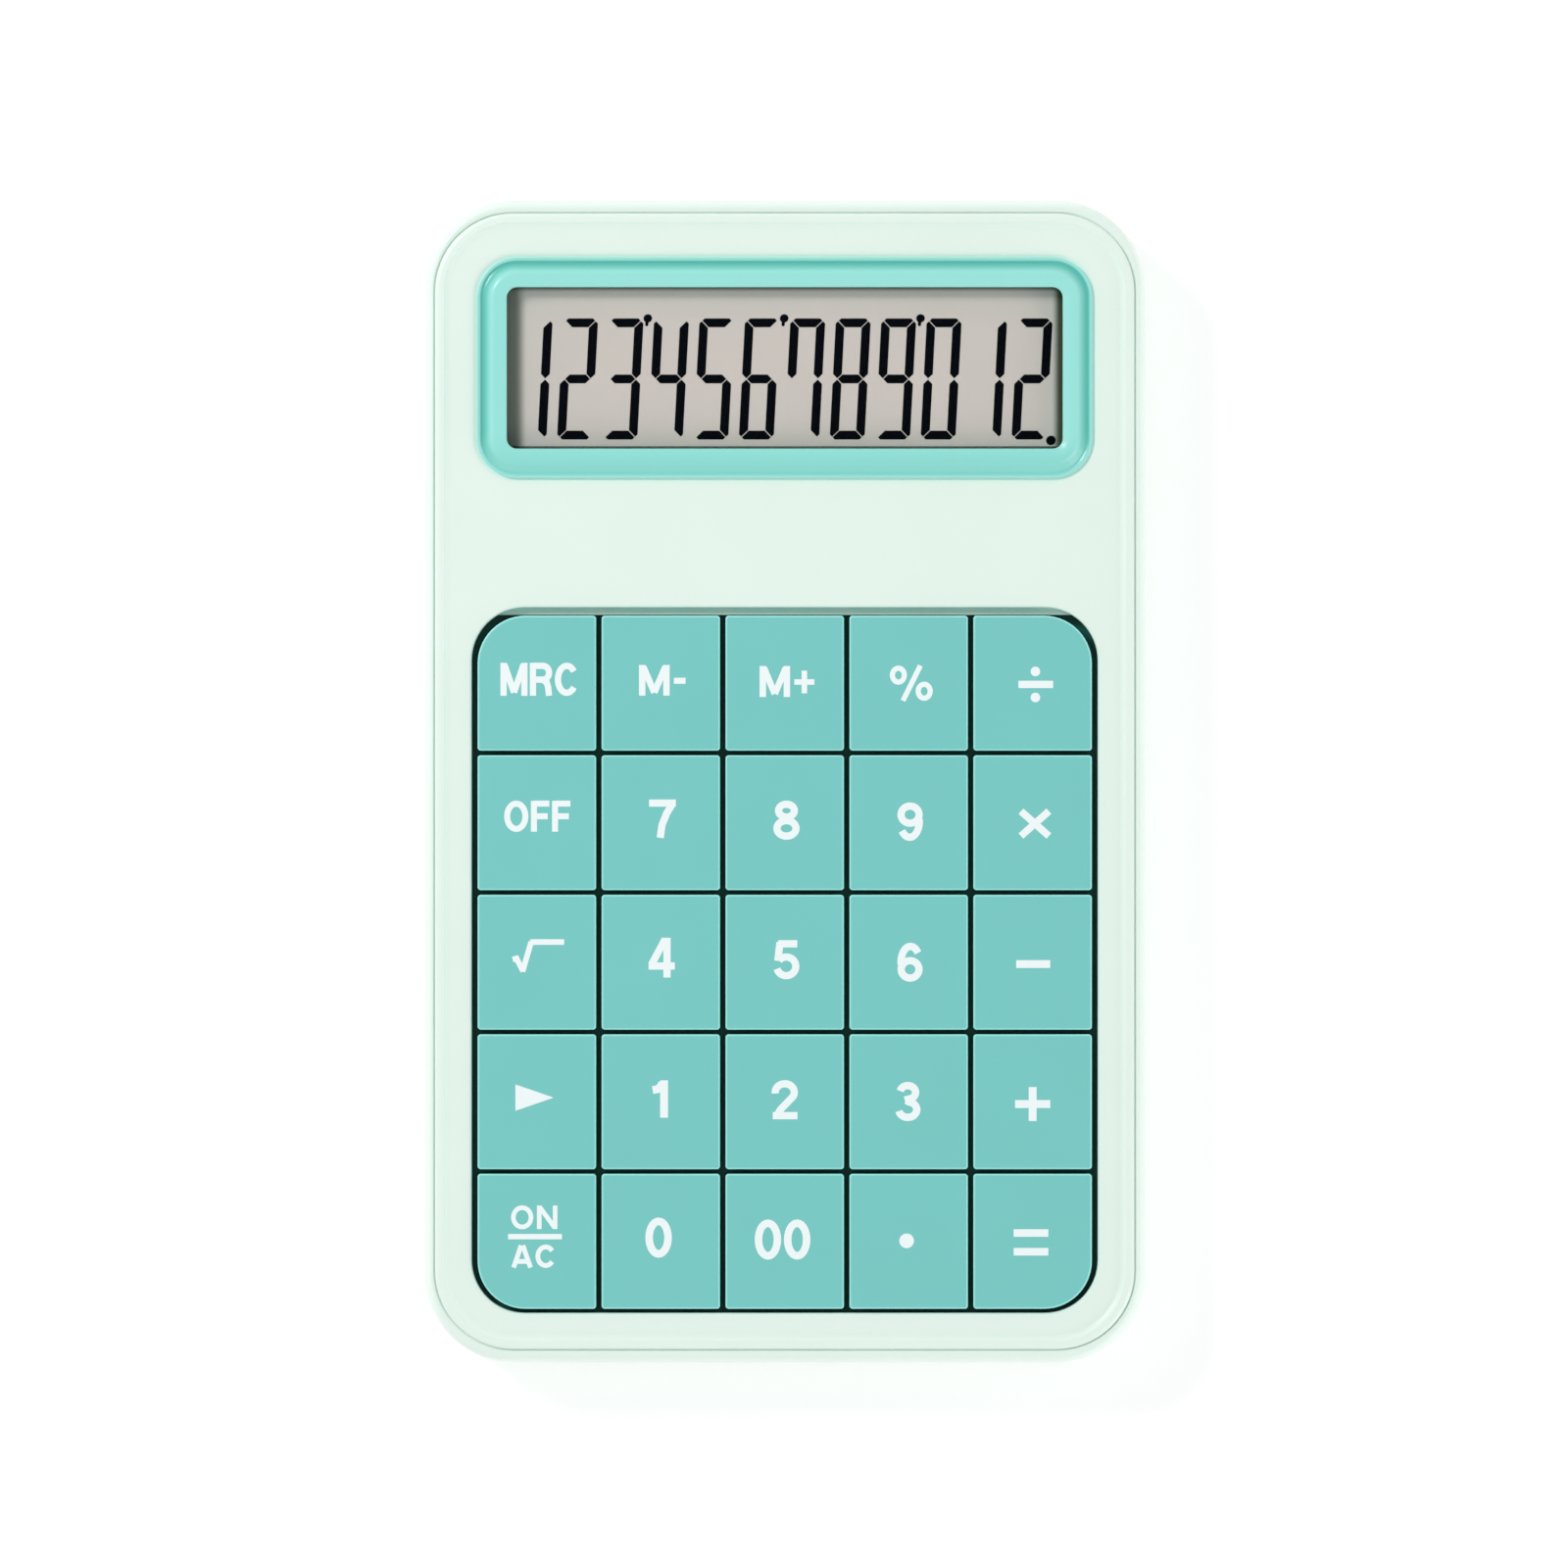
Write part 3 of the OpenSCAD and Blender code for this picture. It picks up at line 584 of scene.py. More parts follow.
@dataclass(frozen=True)
class CellJacket:
    """Plain printed jacket of a round cell: dark body and a light band at one end."""

    name: str
    body: Colour = (44, 66, 104)
    band: Colour = (196, 150, 84)
    band_x: float = 10 * MM

    def make(self) -> bpy.types.Material:
        """Builds the material.

        Returns:
            The material.
        """
        recipe = Recipe(self.name)
        past = recipe.axis("X").above(self.band_x)
        return recipe.surface({
            "Base Color": recipe.tint(past, linear(self.body), linear(self.band)),
            "Metallic": 0.5 + past * 0.3,
            "Roughness": 0.24 + recipe.noise(1.5 * MM) * 0.12,
        })


class Slot(Enum):
    """Material slots of the record, each with its finish."""

    CASE = "case_plastic"
    BEZEL = "bezel_plastic"
    KEY = "key_plastic"
    LENS = "lens_plastic"
    DISPLAY = "lcd_glass"
    RIBBON = "ribbon_film"
    SCREW = "screw_steel"
    BOARD = "board_laminate"
    CHIP = "chip_plastic"
    COMPONENT = "component_ceramic"
    KEYPAD = "keypad_rubber"
    CELL = "cell_jacket"
    CONTACT = "contact_steel"
    FOOT = "foot_rubber"


class Finishes:
    """Builds each material once and hands it out."""

    def __init__(self) -> None:
        """Builds the materials."""
        self.by_slot = {
            Slot.CASE: MouldedPlastic("mint_plastic", (233, 249, 240), 0.36).make(),
            # The bezel's material paints shade into its groove and across its south side
            Slot.BEZEL: BezelPlasticWithPaintedShade("bezel_plastic", (156, 232, 224), 0.3, coat=0.12).make(),
            # The keys' material paints a highlight along their rounded top edges
            Slot.KEY: KeyPlasticWithPaintedHighlight("key_plastic", (122, 204, 199), 0.4).make(),
            Slot.LENS: ClearPlastic("lens_acrylic").make(),
            # The display film has the bezel's shadow painted along the window's edges
            Slot.DISPLAY: DisplayFilm("display_film").make(),
            Slot.RIBBON: MouldedPlastic("ribbon_film", (196, 128, 52), 0.25).make(),
            Slot.SCREW: PlatedSteel("screw_steel").make(),
            Slot.BOARD: BoardLaminate("board_laminate").make(),
            Slot.CHIP: MouldedPlastic("chip_plastic", (40, 41, 43), 0.5).make(),
            Slot.COMPONENT: MouldedPlastic("component_ceramic", (196, 176, 140), 0.45).make(),
            Slot.KEYPAD: Rubber("keypad_rubber", (118, 122, 124)).make(),
            Slot.CELL: CellJacket("cell_jacket").make(),
            Slot.CONTACT: PlatedSteel("contact_steel", (198, 198, 202), (8.0, 1.0, 8.0)).make(),
            Slot.FOOT: Rubber("foot_rubber", (58, 60, 62)).make(),
        }
        # The cover's material paints shade dark onto the guide grid deep in the key well
        self.cover = CoverPlasticWithPaintedShade("cover_plastic_painted_shade", (233, 249, 240), 0.36).make()
        self.legend = Ink("legend_ink", (243, 253, 253), 0.38).make()
        self.segment = Ink("segment_ink", (6, 8, 14), 0.5, 0.0).make()

    def dress(self, piece: bpy.types.Object, slot: Slot,
              material: bpy.types.Material | None = None) -> None:
        """Gives an object its material.

        Args:
            piece: The object.
            slot: The record's slot.
            material: Another material than the slot's own.
        """
        chosen = material or self.by_slot[slot]
        if piece.material_slots:
            for held in piece.material_slots:
                held.material = chosen
        else:
            piece.data.materials.append(chosen)


# ------------------------------------------------------------------ modelling


def linked(name: str, data: bpy.types.ID) -> bpy.types.Object:
    """Makes an object and links it to the scene.

    Args:
        name: The object's name.
        data: Its mesh, camera or light.

    Returns:
        The object.
    """
    made = bpy.data.objects.new(name, data)
    bpy.context.scene.collection.objects.link(made)
    return made


def written(bm: bmesh.types.BMesh, name: str) -> bpy.types.Mesh:
    """Writes a form to a mesh and frees it.

    Args:
        bm: The form, which is used up.
        name: The mesh's name.

    Returns:
        The mesh.
    """
    mesh = bpy.data.meshes.new(name)
    bm.to_mesh(mesh)
    bm.free()
    return mesh


@dataclass(frozen=True)
class Plan:
    """Rounded rectangle seen from above, with one radius per corner."""

    width: float
    length: float
    radii: tuple[float, float, float, float]
    centre: Point = (0.0, 0.0)

    @classmethod
    def even(cls, width: float, length: float, radius: float, centre: Point = (0.0, 0.0)) -> "Plan":
        """Plan with equal corners."""
        return cls(width, length, (radius,) * 4, centre)

    def grown(self, by: float) -> "Plan":
        """Plan whose outline lies further out by one distance."""
        return Plan(self.width + 2 * by, self.length + 2 * by,
                    tuple(r + by for r in self.radii), self.centre)


class Block:
    """A closed form that grows from a rounded prism by insets and extrusions."""

    def __init__(self, plan: Plan, low: float, high: float, arcs: int = 14) -> None:
        """Makes the prism.

        Args:
            plan: Its outline.
            low: Height of its base.
            high: Height of its top.
            arcs: Segments in each rounded corner.
        """
        self.bm = bmesh.new()
        bmesh.ops.create_cube(self.bm, size=1.0)
        middle = (plan.centre[0], plan.centre[1], (low + high) / 2)
        bmesh.ops.scale(self.bm, vec=(plan.width, plan.length, high - low), verts=self.bm.verts)
        bmesh.ops.translate(self.bm, vec=middle, verts=self.bm.verts)
        for (sx, sy), radius in zip(CORNERS, plan.radii):
            if radius <= 0:
                continue
            edge = self._upright(middle, sx, sy)
            bmesh.ops.bevel(self.bm, geom=[edge], offset=radius, offset_type="OFFSET",
                            affect="EDGES", segments=arcs, profile=0.5, material=-1)
        self.top = max(self.bm.faces, key=lambda f: f.calc_center_median().z)
        self.base = min(self.bm.faces, key=lambda f: f.calc_center_median().z)

    def _upright(self, middle: tuple, sx: int, sy: int) -> bmesh.types.BMEdge:
        """The upright edge furthest towards one corner.

        Args:
            middle: The prism's middle.
            sx: 1 or -1 along X.
            sy: 1 or -1 along Y.

        Returns:
            The edge.
        """
        uprights = [e for e in self.bm.edges
                    if abs(e.verts[0].co.x - e.verts[1].co.x) < 1e-9
                    and abs(e.verts[0].co.y - e.verts[1].co.y) < 1e-9]
        return max(uprights, key=lambda e: sx * (e.verts[0].co.x - middle[0])
                   + sy * (e.verts[0].co.y - middle[1]))

    def terrace(self, face: bmesh.types.BMFace, profile: Iterable[Point]) -> bmesh.types.BMFace:
        """Carries a face along a section.

        Args:
            face: A level face of the block.
            profile: Points of the section, as the distance in from the face's outline
                and the height above the face, both counted from where it starts.

        Returns:
            The face where it ends.
        """
        inward, risen = 0.0, 0.0
        for distance, height in profile:
            if distance > inward:
                bmesh.ops.inset_region(self.bm, faces=[face], thickness=distance - inward,
                                       use_even_offset=True, use_boundary=True)
            else:
                face = bmesh.ops.extrude_discrete_faces(self.bm, faces=[face])["faces"][0]
            bmesh.ops.translate(self.bm, vec=(0, 0, height - risen), verts=face.verts)
            inward, risen = distance, height
        return face

    def add(self, other: "Block") -> None:
        """Takes in another block's mesh.

        Args:
            other: The block, which is used up.
        """
        passed = written(other.bm, "passed")
        self.bm.from_mesh(passed)
        bpy.data.meshes.remove(passed)

    def piece(self, name: str) -> bpy.types.Object:
        """Writes the block to an object.

        Args:
            name: The object's name.

        Returns:
            The object, linked to the scene.
        """
        bmesh.ops.recalc_face_normals(self.bm, faces=self.bm.faces)
        return linked(name, written(self.bm, name))


def round_over(radius: float, segments: int, up: int = 1,
               height: float | None = None) -> list[Point]:
    """Section from a wall over a rounded edge.

    Args:
        radius: Radius of the edge.
        segments: Number of steps.
        up: 1 for an upper edge, -1 for a lower one.
        height: Height of the edge where it isn't its radius.

    Returns:
        Points for Block.terrace.
    """
    tall = height or radius
    angles = [math.pi / 2 * k / segments for k in range(1, segments + 1)]
    return [(radius * (1 - math.cos(a)), up * tall * math.sin(a)) for a in angles]


def flare_in(radius: float, segments: int) -> list[Point]:
    """Section of a cutter that leaves a rounded edge around its mouth, going down."""
    angles = [math.pi / 2 * k / segments for k in range(1, segments + 1)]
    return [(radius * math.sin(a), -radius * (1 - math.cos(a))) for a in angles]


def after(points: Sequence[Point], more: Iterable[Point]) -> list[Point]:
    """Joins sections, each counted from where the last ends."""
    x, z = points[-1] if points else (0.0, 0.0)
    return list(points) + [(x + dx, z + dz) for dx, dz in more]


class Join(Enum):
    """How one form changes another."""

    CUT = "DIFFERENCE"
    FUSE = "UNION"


def shape(piece: bpy.types.Object, changes: Sequence[tuple[Join, Block]]) -> None:
    """Cuts and fuses blocks into a piece.

    Args:
        piece: The object that changes.
        changes: Each block with how it joins, in order.
    """
    tools = []
    for number, (join, block) in enumerate(changes):
        tool = block.piece(f"tool_{number}")
        change = piece.modifiers.new(tool.name, "BOOLEAN")
        change.operation = join.value
        change.solver = "EXACT"
        change.object = tool
        tools.append(tool)
    bpy.context.view_layer.update()
    ready = piece.evaluated_get(bpy.context.evaluated_depsgraph_get())
    changed = bpy.data.meshes.new_from_object(ready)
    piece.modifiers.clear()
    piece.data = changed
    for tool in tools:
        bpy.data.objects.remove(tool)


def smooth(piece: bpy.types.Object, angle: float = 32.0) -> None:
    """Shades rounded edges smooth and keeps flat faces flat.

    Args:
        piece: The object.
        angle: Turn in degrees past which an edge stays sharp.
    """
    piece.data.shade_smooth()
    piece.data.set_sharp_from_angle(angle=math.radians(angle))
    even = piece.modifiers.new("even_shading", "WEIGHTED_NORMAL")
    even.keep_sharp = True
    even.weight = 60


def drum(spot: Point, diameter: float, low: float, high: float, segments: int = 40) -> Block:
    """Upright cylinder as a block, its corners just short of meeting."""
    radius = diameter / 2 * NEARLY
    return Block(Plan.even(diameter, diameter, radius, spot), low, high, segments // 4)


def merged(blocks: Sequence[Block]) -> Block:
    """Puts separate blocks in one mesh.

    Args:
        blocks: The blocks, which are used up.

    Returns:
        The block that holds them all.
    """
    for block in blocks[1:]:
        blocks[0].add(block)
    return blocks[0]


@dataclass(frozen=True)
class Extent:
    """A CAD node's box."""

    low: Vector
    high: Vector

    @classmethod
    def of(cls, node: str) -> "Extent":
        """Reads a node's box."""
        low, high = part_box(node)
        return cls(Vector(low), Vector(high))

    @property
    def size(self) -> Vector:
        """Width, length and height."""
        return self.high - self.low

    @property
    def centre(self) -> Vector:
        """Middle of the box."""
        return (self.high + self.low) / 2

    @property
    def spot(self) -> Point:
        """Middle, seen from above."""
        return (self.centre.x, self.centre.y)


def settle(piece: bpy.types.Object, body: str, slot: Slot, finishes: Finishes,
           material: bpy.types.Material | None = None) -> None:
    """Dresses a new piece and makes it ride on a body.

    Args:
        piece: The new piece.
        body: The body that it moves with.
        slot: Its material slot.
        finishes: The materials.
        material: Another material than the slot's own.
    """
    finishes.dress(piece, slot, material)
    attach(piece, body)


# ----------------------------------------------------------------- the shells


@dataclass
class CaseShells:
    """Lower case and upper cover, with the key well and its guide grid."""

    finishes: Finishes
    cover_corner: float = 11.4 * MM
    cover_t: float = 1.8 * MM
    rim_h: float = 0.5 * MM
    rim_w: float = 1.3 * MM
    rim_edge: float = 0.7 * MM
    rim_sweep: float = 1.05 * MM
    well_corner: float = 7.7 * MM
    well_gap: float = 0.81 * MM
    well_bottom_gap: float = 0.55 * MM
    well_top_gap: float = 1.14 * MM
    ledge_gap: float = 0.1 * MM
    ledge_z: float = 14.6 * MM
    bite: float = 0.2 * MM
    well_depth: float = 4.4 * MM
    well_wall: float = 1.5 * MM
    well_edge: float = 0.3 * MM
    grid_t: float = 1.2 * MM
    guide_w: float = 5.3 * MM
    skirt_w: float = 2.0 * MM
    parting_h: float = 13.4 * MM
    parting_gap: float = 0.21 * MM
    parting_fit: float = 0.02 * MM
    parting_depth: float = 0.2 * MM
    rebate_h: float = 0.5 * MM
    top_edge: float = 1.3 * MM
    lip_h: float = 2.9 * MM
    bottom_edge: float = 3.5 * MM
    inner_edge: float = 2.0 * MM
    seat_w: float = 1.0 * MM
    floor_t: float = 1.8 * MM
    bay_wall: float = 1.2 * MM
    bay_south: float = 1.5 * MM
    recess_w: float = 14.6 * MM
    recess_h: float = 1.1 * MM
    tab_w: float = 8.4 * MM
    tab_l: float = 3.4 * MM
    tab_x: float = 15.0 * MM
    tab_low: float = 0.8 * MM
    tab_high: float = 3.8 * MM
    foot_d: float = 9.2 * MM
    foot_pocket: float = 0.8 * MM
    opening_clear: float = 1.1 * MM
    opening_corner: float = 2.7 * MM
    dish_w: float = 1.2 * MM
    dish_h: float = 0.25 * MM
    tower_d: float = 6.4 * MM
    tower_h: float = 9.0 * MM
    boss_d: float = 5.0 * MM
    pilot_d: float = 1.9 * MM
    pilot_over: float = 0.3 * MM
    shank_d: float = 2.3 * MM
    head_d: float = 4.6 * MM
    head_h: float = 2.4 * MM
    cover: Extent = field(default_factory=lambda: Extent.of("upper_cover"))
    case: Extent = field(default_factory=lambda: Extent.of("lower_case"))
    bezel: Extent = field(default_factory=lambda: Extent.of("display_bezel"))

    def __post_init__(self) -> None:
        """Works out the heights that the solids share."""
        self.face_z = self.cover.high.z - self.rim_h
        self.under_z = self.face_z - self.cover_t
        self.seat_z = self.parting_h - self.rebate_h
        self.grid_z = self.face_z - self.well_depth
        self.floor_z = self.case.low.z + self.floor_t

    def well_plan(self) -> Plan:
        """Outline of the key well, around the outermost keys.

        Returns:
            The outline.
        """
        first, last = Extent.of("key_mrc"), Extent.of("key_equals")
        low_y, high_y = last.low.y - self.well_bottom_gap, first.high.y + self.well_top_gap
        low_x, high_x = first.low.x - self.well_gap, last.high.x + self.well_gap
        return Plan.even(high_x - low_x, high_y - low_y, self.well_corner,
                         ((low_x + high_x) / 2, (low_y + high_y) / 2))

    def _ledge(self) -> Block:
        """Step at the well's north side, clear of the keys.

        Returns:
            The step, which bites into the grid and the well's wall.
        """
        well = self.well_plan()
        low_y = max(Extent.of(node).high.y for node in Keypad.nodes()) + self.ledge_gap
        high_y = well.centre[1] + well.length / 2 + self.bite
        spot = (well.centre[0], (low_y + high_y) / 2)
        plan = Plan.even(well.width + self.bite, high_y - low_y, 0.0, spot)
        return Block(plan, self.grid_z - self.bite, self.ledge_z)

    def cover_plan(self) -> Plan:
        """Outline of the cover."""
        return Plan.even(self.cover.size.x, self.cover.size.y, self.cover_corner)

    def rim_section(self) -> list[Point]:
        """Rounded rim, then the hollow curve that runs out on the face.

        Returns:
            Points for Block.terrace.
        """
        radius = (self.rim_sweep ** 2 + self.rim_h ** 2) / (2 * self.rim_h)
        steps = 7
        curve = []
        for k in range(1, steps + 1):
            x = self.rim_sweep * k / steps
            height = radius - math.sqrt(radius ** 2 - (self.rim_sweep - x) ** 2)
            curve.append((x, height - self.rim_h))
        flat = self.rim_w - self.rim_edge
        return after(after(round_over(self.rim_edge, 6), [(flat, 0.0)]), curve)

    def build_cover(self) -> bpy.types.Object:
        """Models the upper cover.

        Returns:
            The piece.
        """
        plan = self.cover_plan()
        block = Block(plan, self.seat_z, self.face_z + self.rim_h - self.rim_edge, 20)
        block.terrace(block.top, self.rim_section())
        piece = block.piece("cover_shell")
        well = self.well_plan()
        mouth = Block(well.grown(self.well_edge), self.face_z, self.face_z + 2 * MM, 16)
        edge = flare_in(self.well_edge, 5)
        mouth.terrace(mouth.base, after(edge, [(0.0, self.grid_z - self.face_z + self.well_edge)]))
        opening = Plan.even(self.bezel.size.x - 2 * self.opening_clear,
                            self.bezel.size.y - 2 * self.opening_clear,
                            self.opening_corner, self.bezel.spot)
        dish = Block(Display.plan().grown(self.dish_w), self.face_z, self.face_z + MM, 16)
        dish.terrace(dish.base, self._dish_section())
        shape(piece, [
            (Join.CUT, Block(plan.grown(-self.skirt_w), self.seat_z - MM, self.under_z)),
            (Join.FUSE, Block(well.grown(self.well_wall), self.grid_z - self.grid_t,
                              self.under_z + self.bite)),
            (Join.CUT, mouth),
            (Join.CUT, dish),
            (Join.CUT, Block(opening, self.under_z - MM, self.face_z + MM, 6)),
            (Join.FUSE, self._ledge()),
            (Join.CUT, self._guides()),
            *self._bosses(),
        ])
        smooth(piece)
        settle(piece, CASE, Slot.CASE, self.finishes, self.finishes.cover)
        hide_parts("upper_cover")
        return piece

    def _dish_section(self) -> list[Point]:
        """Hollow curve down to the bezel's seat."""
        steps = 5
        shares = [k / steps for k in range(1, steps + 1)]
        return [(self.dish_w * share, -self.dish_h * share ** 2) for share in shares]

    def _bosses(self) -> list[tuple[Join, Block]]:
        """Bosses for the case screws and the display holder's screws, with their pilots.

        Returns:
            The changes, in order.
        """
        holder, well, changes = Extent.of("lcd_holder"), self.well_plan(), []
        for spot in islands("case_screws"):
            root = self.grid_z - self.bite if spot[1] < well.centre[1] else self.under_z + self.bite
            changes.append((Join.FUSE, drum(spot, self.boss_d, self.tower_h, root)))
        root = self.under_z + self.bite
        for spot in islands("holder_screws"):
            changes.append((Join.FUSE, drum(spot, self.boss_d, holder.high.z, root)))
        for node in ("case_screws", "holder_screws"):
            end = Extent.of(node).high.z + self.pilot_over
            for spot in islands(node):
                changes.append((Join.CUT, drum(spot, self.pilot_d, self.tower_h - MM, end, 24)))
        return changes

    def _guides(self) -> Block:
        """Cutters of the guide holes, one per key."""
        return merged([self._guide(node) for node in Keypad.nodes()])

    def _guide(self, node: str) -> Block:
        """Cutter of one guide hole."""
        plan = Plan.even(self.guide_w, self.guide_w, 0.0, Extent.of(node).spot)
        return Block(plan, self.grid_z - self.grid_t - MM, self.grid_z + MM)

    def build_lower(self) -> bpy.types.Object:
        """Models the lower case.

        Returns:
            The piece.
        """
        size = self.case.size
        strip = (size.x - self.cover.size.x) / 2
        plan = Plan.even(size.x, size.y, self.cover_corner + strip)
        low, high = self.case.low.z, self.parting_h + self.lip_h
        edge_h = self.top_edge + self.lip_h
        block = Block(plan, low + self.bottom_edge, high - edge_h, 22)
        block.terrace(block.top, round_over(self.top_edge, 10, height=edge_h))
        block.terrace(block.base, round_over(self.bottom_edge, 9, -1))
        piece = block.piece("case_tray")
        rebate = Block(self.cover_plan().grown(self.parting_fit), self.seat_z, high + MM, 20)
        groove = Block(self.cover_plan().grown(self.parting_gap),
                       high - self.parting_depth, high + 2 * MM, 20)
        cavity = Block(self.cover_plan().grown(-self.seat_w),
                       self.floor_z + self.inner_edge, high + MM, 16)
        cavity.terrace(cavity.base, round_over(self.inner_edge, 5, -1))
        shape(piece, [(Join.CUT, rebate), (Join.CUT, groove), (Join.CUT, cavity),
                      *self._bay(), *self._floor_holes()])
        smooth(piece)
        settle(piece, CASE, Slot.CASE, self.finishes)
        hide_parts("lower_case")
        return piece

    def _bay(self) -> list[tuple[Join, Block]]:
        """Battery bay: its box, its hollow, the door's finger recess and its hinge slots.

        Returns:
            The changes, in order.
        """
        spring, plate = Extent.of("battery_spring"), Extent.of("battery_contact_plate")
        door, cell = Extent.of("battery_door"), Extent.of("battery_cell")
        width = plate.high.x - spring.low.x
        length = plate.high.y - (door.low.y + self.bay_south)
        spot = ((plate.high.x + spring.low.x) / 2, plate.high.y - length / 2)
        hollow = Plan.even(width, length, 0.0, spot)
        recess_y = door.high.y + MM
        recess = Plan.even(self.recess_w, recess_y - spot[1], 0.0,
                           (spot[0], (recess_y + spot[1]) / 2))
        tabs = [Plan.even(self.tab_w, self.tab_l, 0.0, (side * self.tab_x, plate.high.y - length))
                for side in (-1, 1)]
        low = self.case.low.z
        return [
            (Join.FUSE, Block(hollow.grown(self.bay_wall),
                              self.floor_z - self.bite, self.case.high.z)),
            (Join.CUT, Block(hollow, low - MM, cell.high.z)),
            (Join.CUT, Block(recess, low - MM, low + self.recess_h)),
            *[(Join.CUT, Block(tab, low + self.tab_low, low + self.tab_high)) for tab in tabs],
        ]

    def _floor_holes(self) -> list[tuple[Join, Block]]:
        """Pockets of the feet, screw towers with their counterbores, and the board's posts.

        Returns:
            The changes, in order.
        """
        low, root = self.case.low.z, self.floor_z - self.bite
        changes = []
        for spot in islands("rubber_feet"):
            changes.append((Join.CUT, drum(spot, self.foot_d, low - MM, low + self.foot_pocket)))
        for spot in islands("case_screws"):
            changes.append((Join.FUSE, drum(spot, self.tower_d, root, self.tower_h, 32)))
            changes.append((Join.CUT, drum(spot, self.shank_d, low, self.tower_h + MM, 24)))
            changes.append((Join.CUT, drum(spot, self.head_d, low - MM, low + self.head_h, 32)))
        board, screws = Extent.of("circuit_board"), Extent.of("board_screws")
        for spot in islands("board_screws"):
            end = screws.low.z - self.pilot_over
            changes.append((Join.FUSE, drum(spot, self.boss_d, root, board.low.z, 32)))
            changes.append((Join.CUT, drum(spot, self.pilot_d, end, board.high.z, 24)))
        return changes


def islands(node: str) -> list[Point]:
    """Middles of a node's separate solids, seen from above.

    Args:
        node: A CAD node.

    Returns:
        One point per solid.
    """
    copy = bmesh.new()
    copy.from_mesh(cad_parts[node].data)
    bmesh.ops.remove_doubles(copy, verts=copy.verts, dist=1e-6)
    left, spots = set(copy.verts), []
    while left:
        wave = [left.pop()]
        found = list(wave)
        while wave:
            near = {e.other_vert(v) for v in wave for e in v.link_edges} & left
            left -= near
            found += near
            wave = list(near)
        xs, ys = [v.co.x for v in found], [v.co.y for v in found]
        spots.append(((min(xs) + max(xs)) / 2, (min(ys) + max(ys)) / 2))
    copy.free()
    return sorted(spots)


# ---------------------------------------------------------------- the display


class Segment(Enum):
    """Bars of a seven-segment digit, as their middle and whether they stand upright.

    The middle is a share of the digit's width and of its height.
    """

    A = (0.0, 0.5, False)
    B = (0.5, 0.25, True)
    C = (0.5, -0.25, True)
    D = (0.0, -0.5, False)
    E = (-0.5, -0.25, True)
    F = (-0.5, 0.25, True)
    G = (0.0, 0.0, False)

    def cuts(self, width: float, height: float, bar: float, gap: float,
             blunt: float, flat: float) -> list[tuple[Point, Point]]:
        """Slanting cuts that shape the bar's ends.

        Args:
            width: The digit's width between the middles of its upright bars.
            height: The digit's height between the middles of its outer level bars.
            bar: The bars' thickness.
            gap: Gap across a cut.
            blunt: How much of each side the digit's corners lose.
            flat: How far from the digit's middle the upright bars' inner tips end.

        Returns:
            A point and an outward direction for each cut, from the digit's middle.
        """
        share_x, share_y, upright = self.value
        slack = gap / math.sqrt(2)
        half_w, half_h = (width + bar) / 2, (height + bar) / 2
        found = []
        for side in (-1, 1):
            if upright and side * share_y > 0:
                sx = math.copysign(1, share_x)
                found += [((sx * half_w, side * (half_h - slack)), (-sx, side)),
                          ((sx * half_w, side * (half_h - blunt)), (sx, side))]
            elif upright:
                tip = (share_x * width, math.copysign(slack, share_y))
                found += [(tip, (-1, side)), (tip, (1, side)), ((0.0, side * flat), (0.0, side))]
            elif share_y:
                sy = math.copysign(1, share_y)
                found += [((side * (half_w - slack), sy * half_h), (side, -sy)),
                          ((side * (half_w - blunt), sy * half_h), (side, sy))]
            else:
                tip = (side * (width / 2 - slack), 0.0)
                found += [(tip, (side, sy)) for sy in (-1, 1)]
        return found


LIT = {
    "0": "ABCDEF", "1": "BC", "2": "ABDEG", "3": "ABCDG", "4": "BCFG",
    "5": "ACDFG", "6": "ACDEFG", "7": "ABCF", "8": "ABCDEFG", "9": "ABCDFG",
}


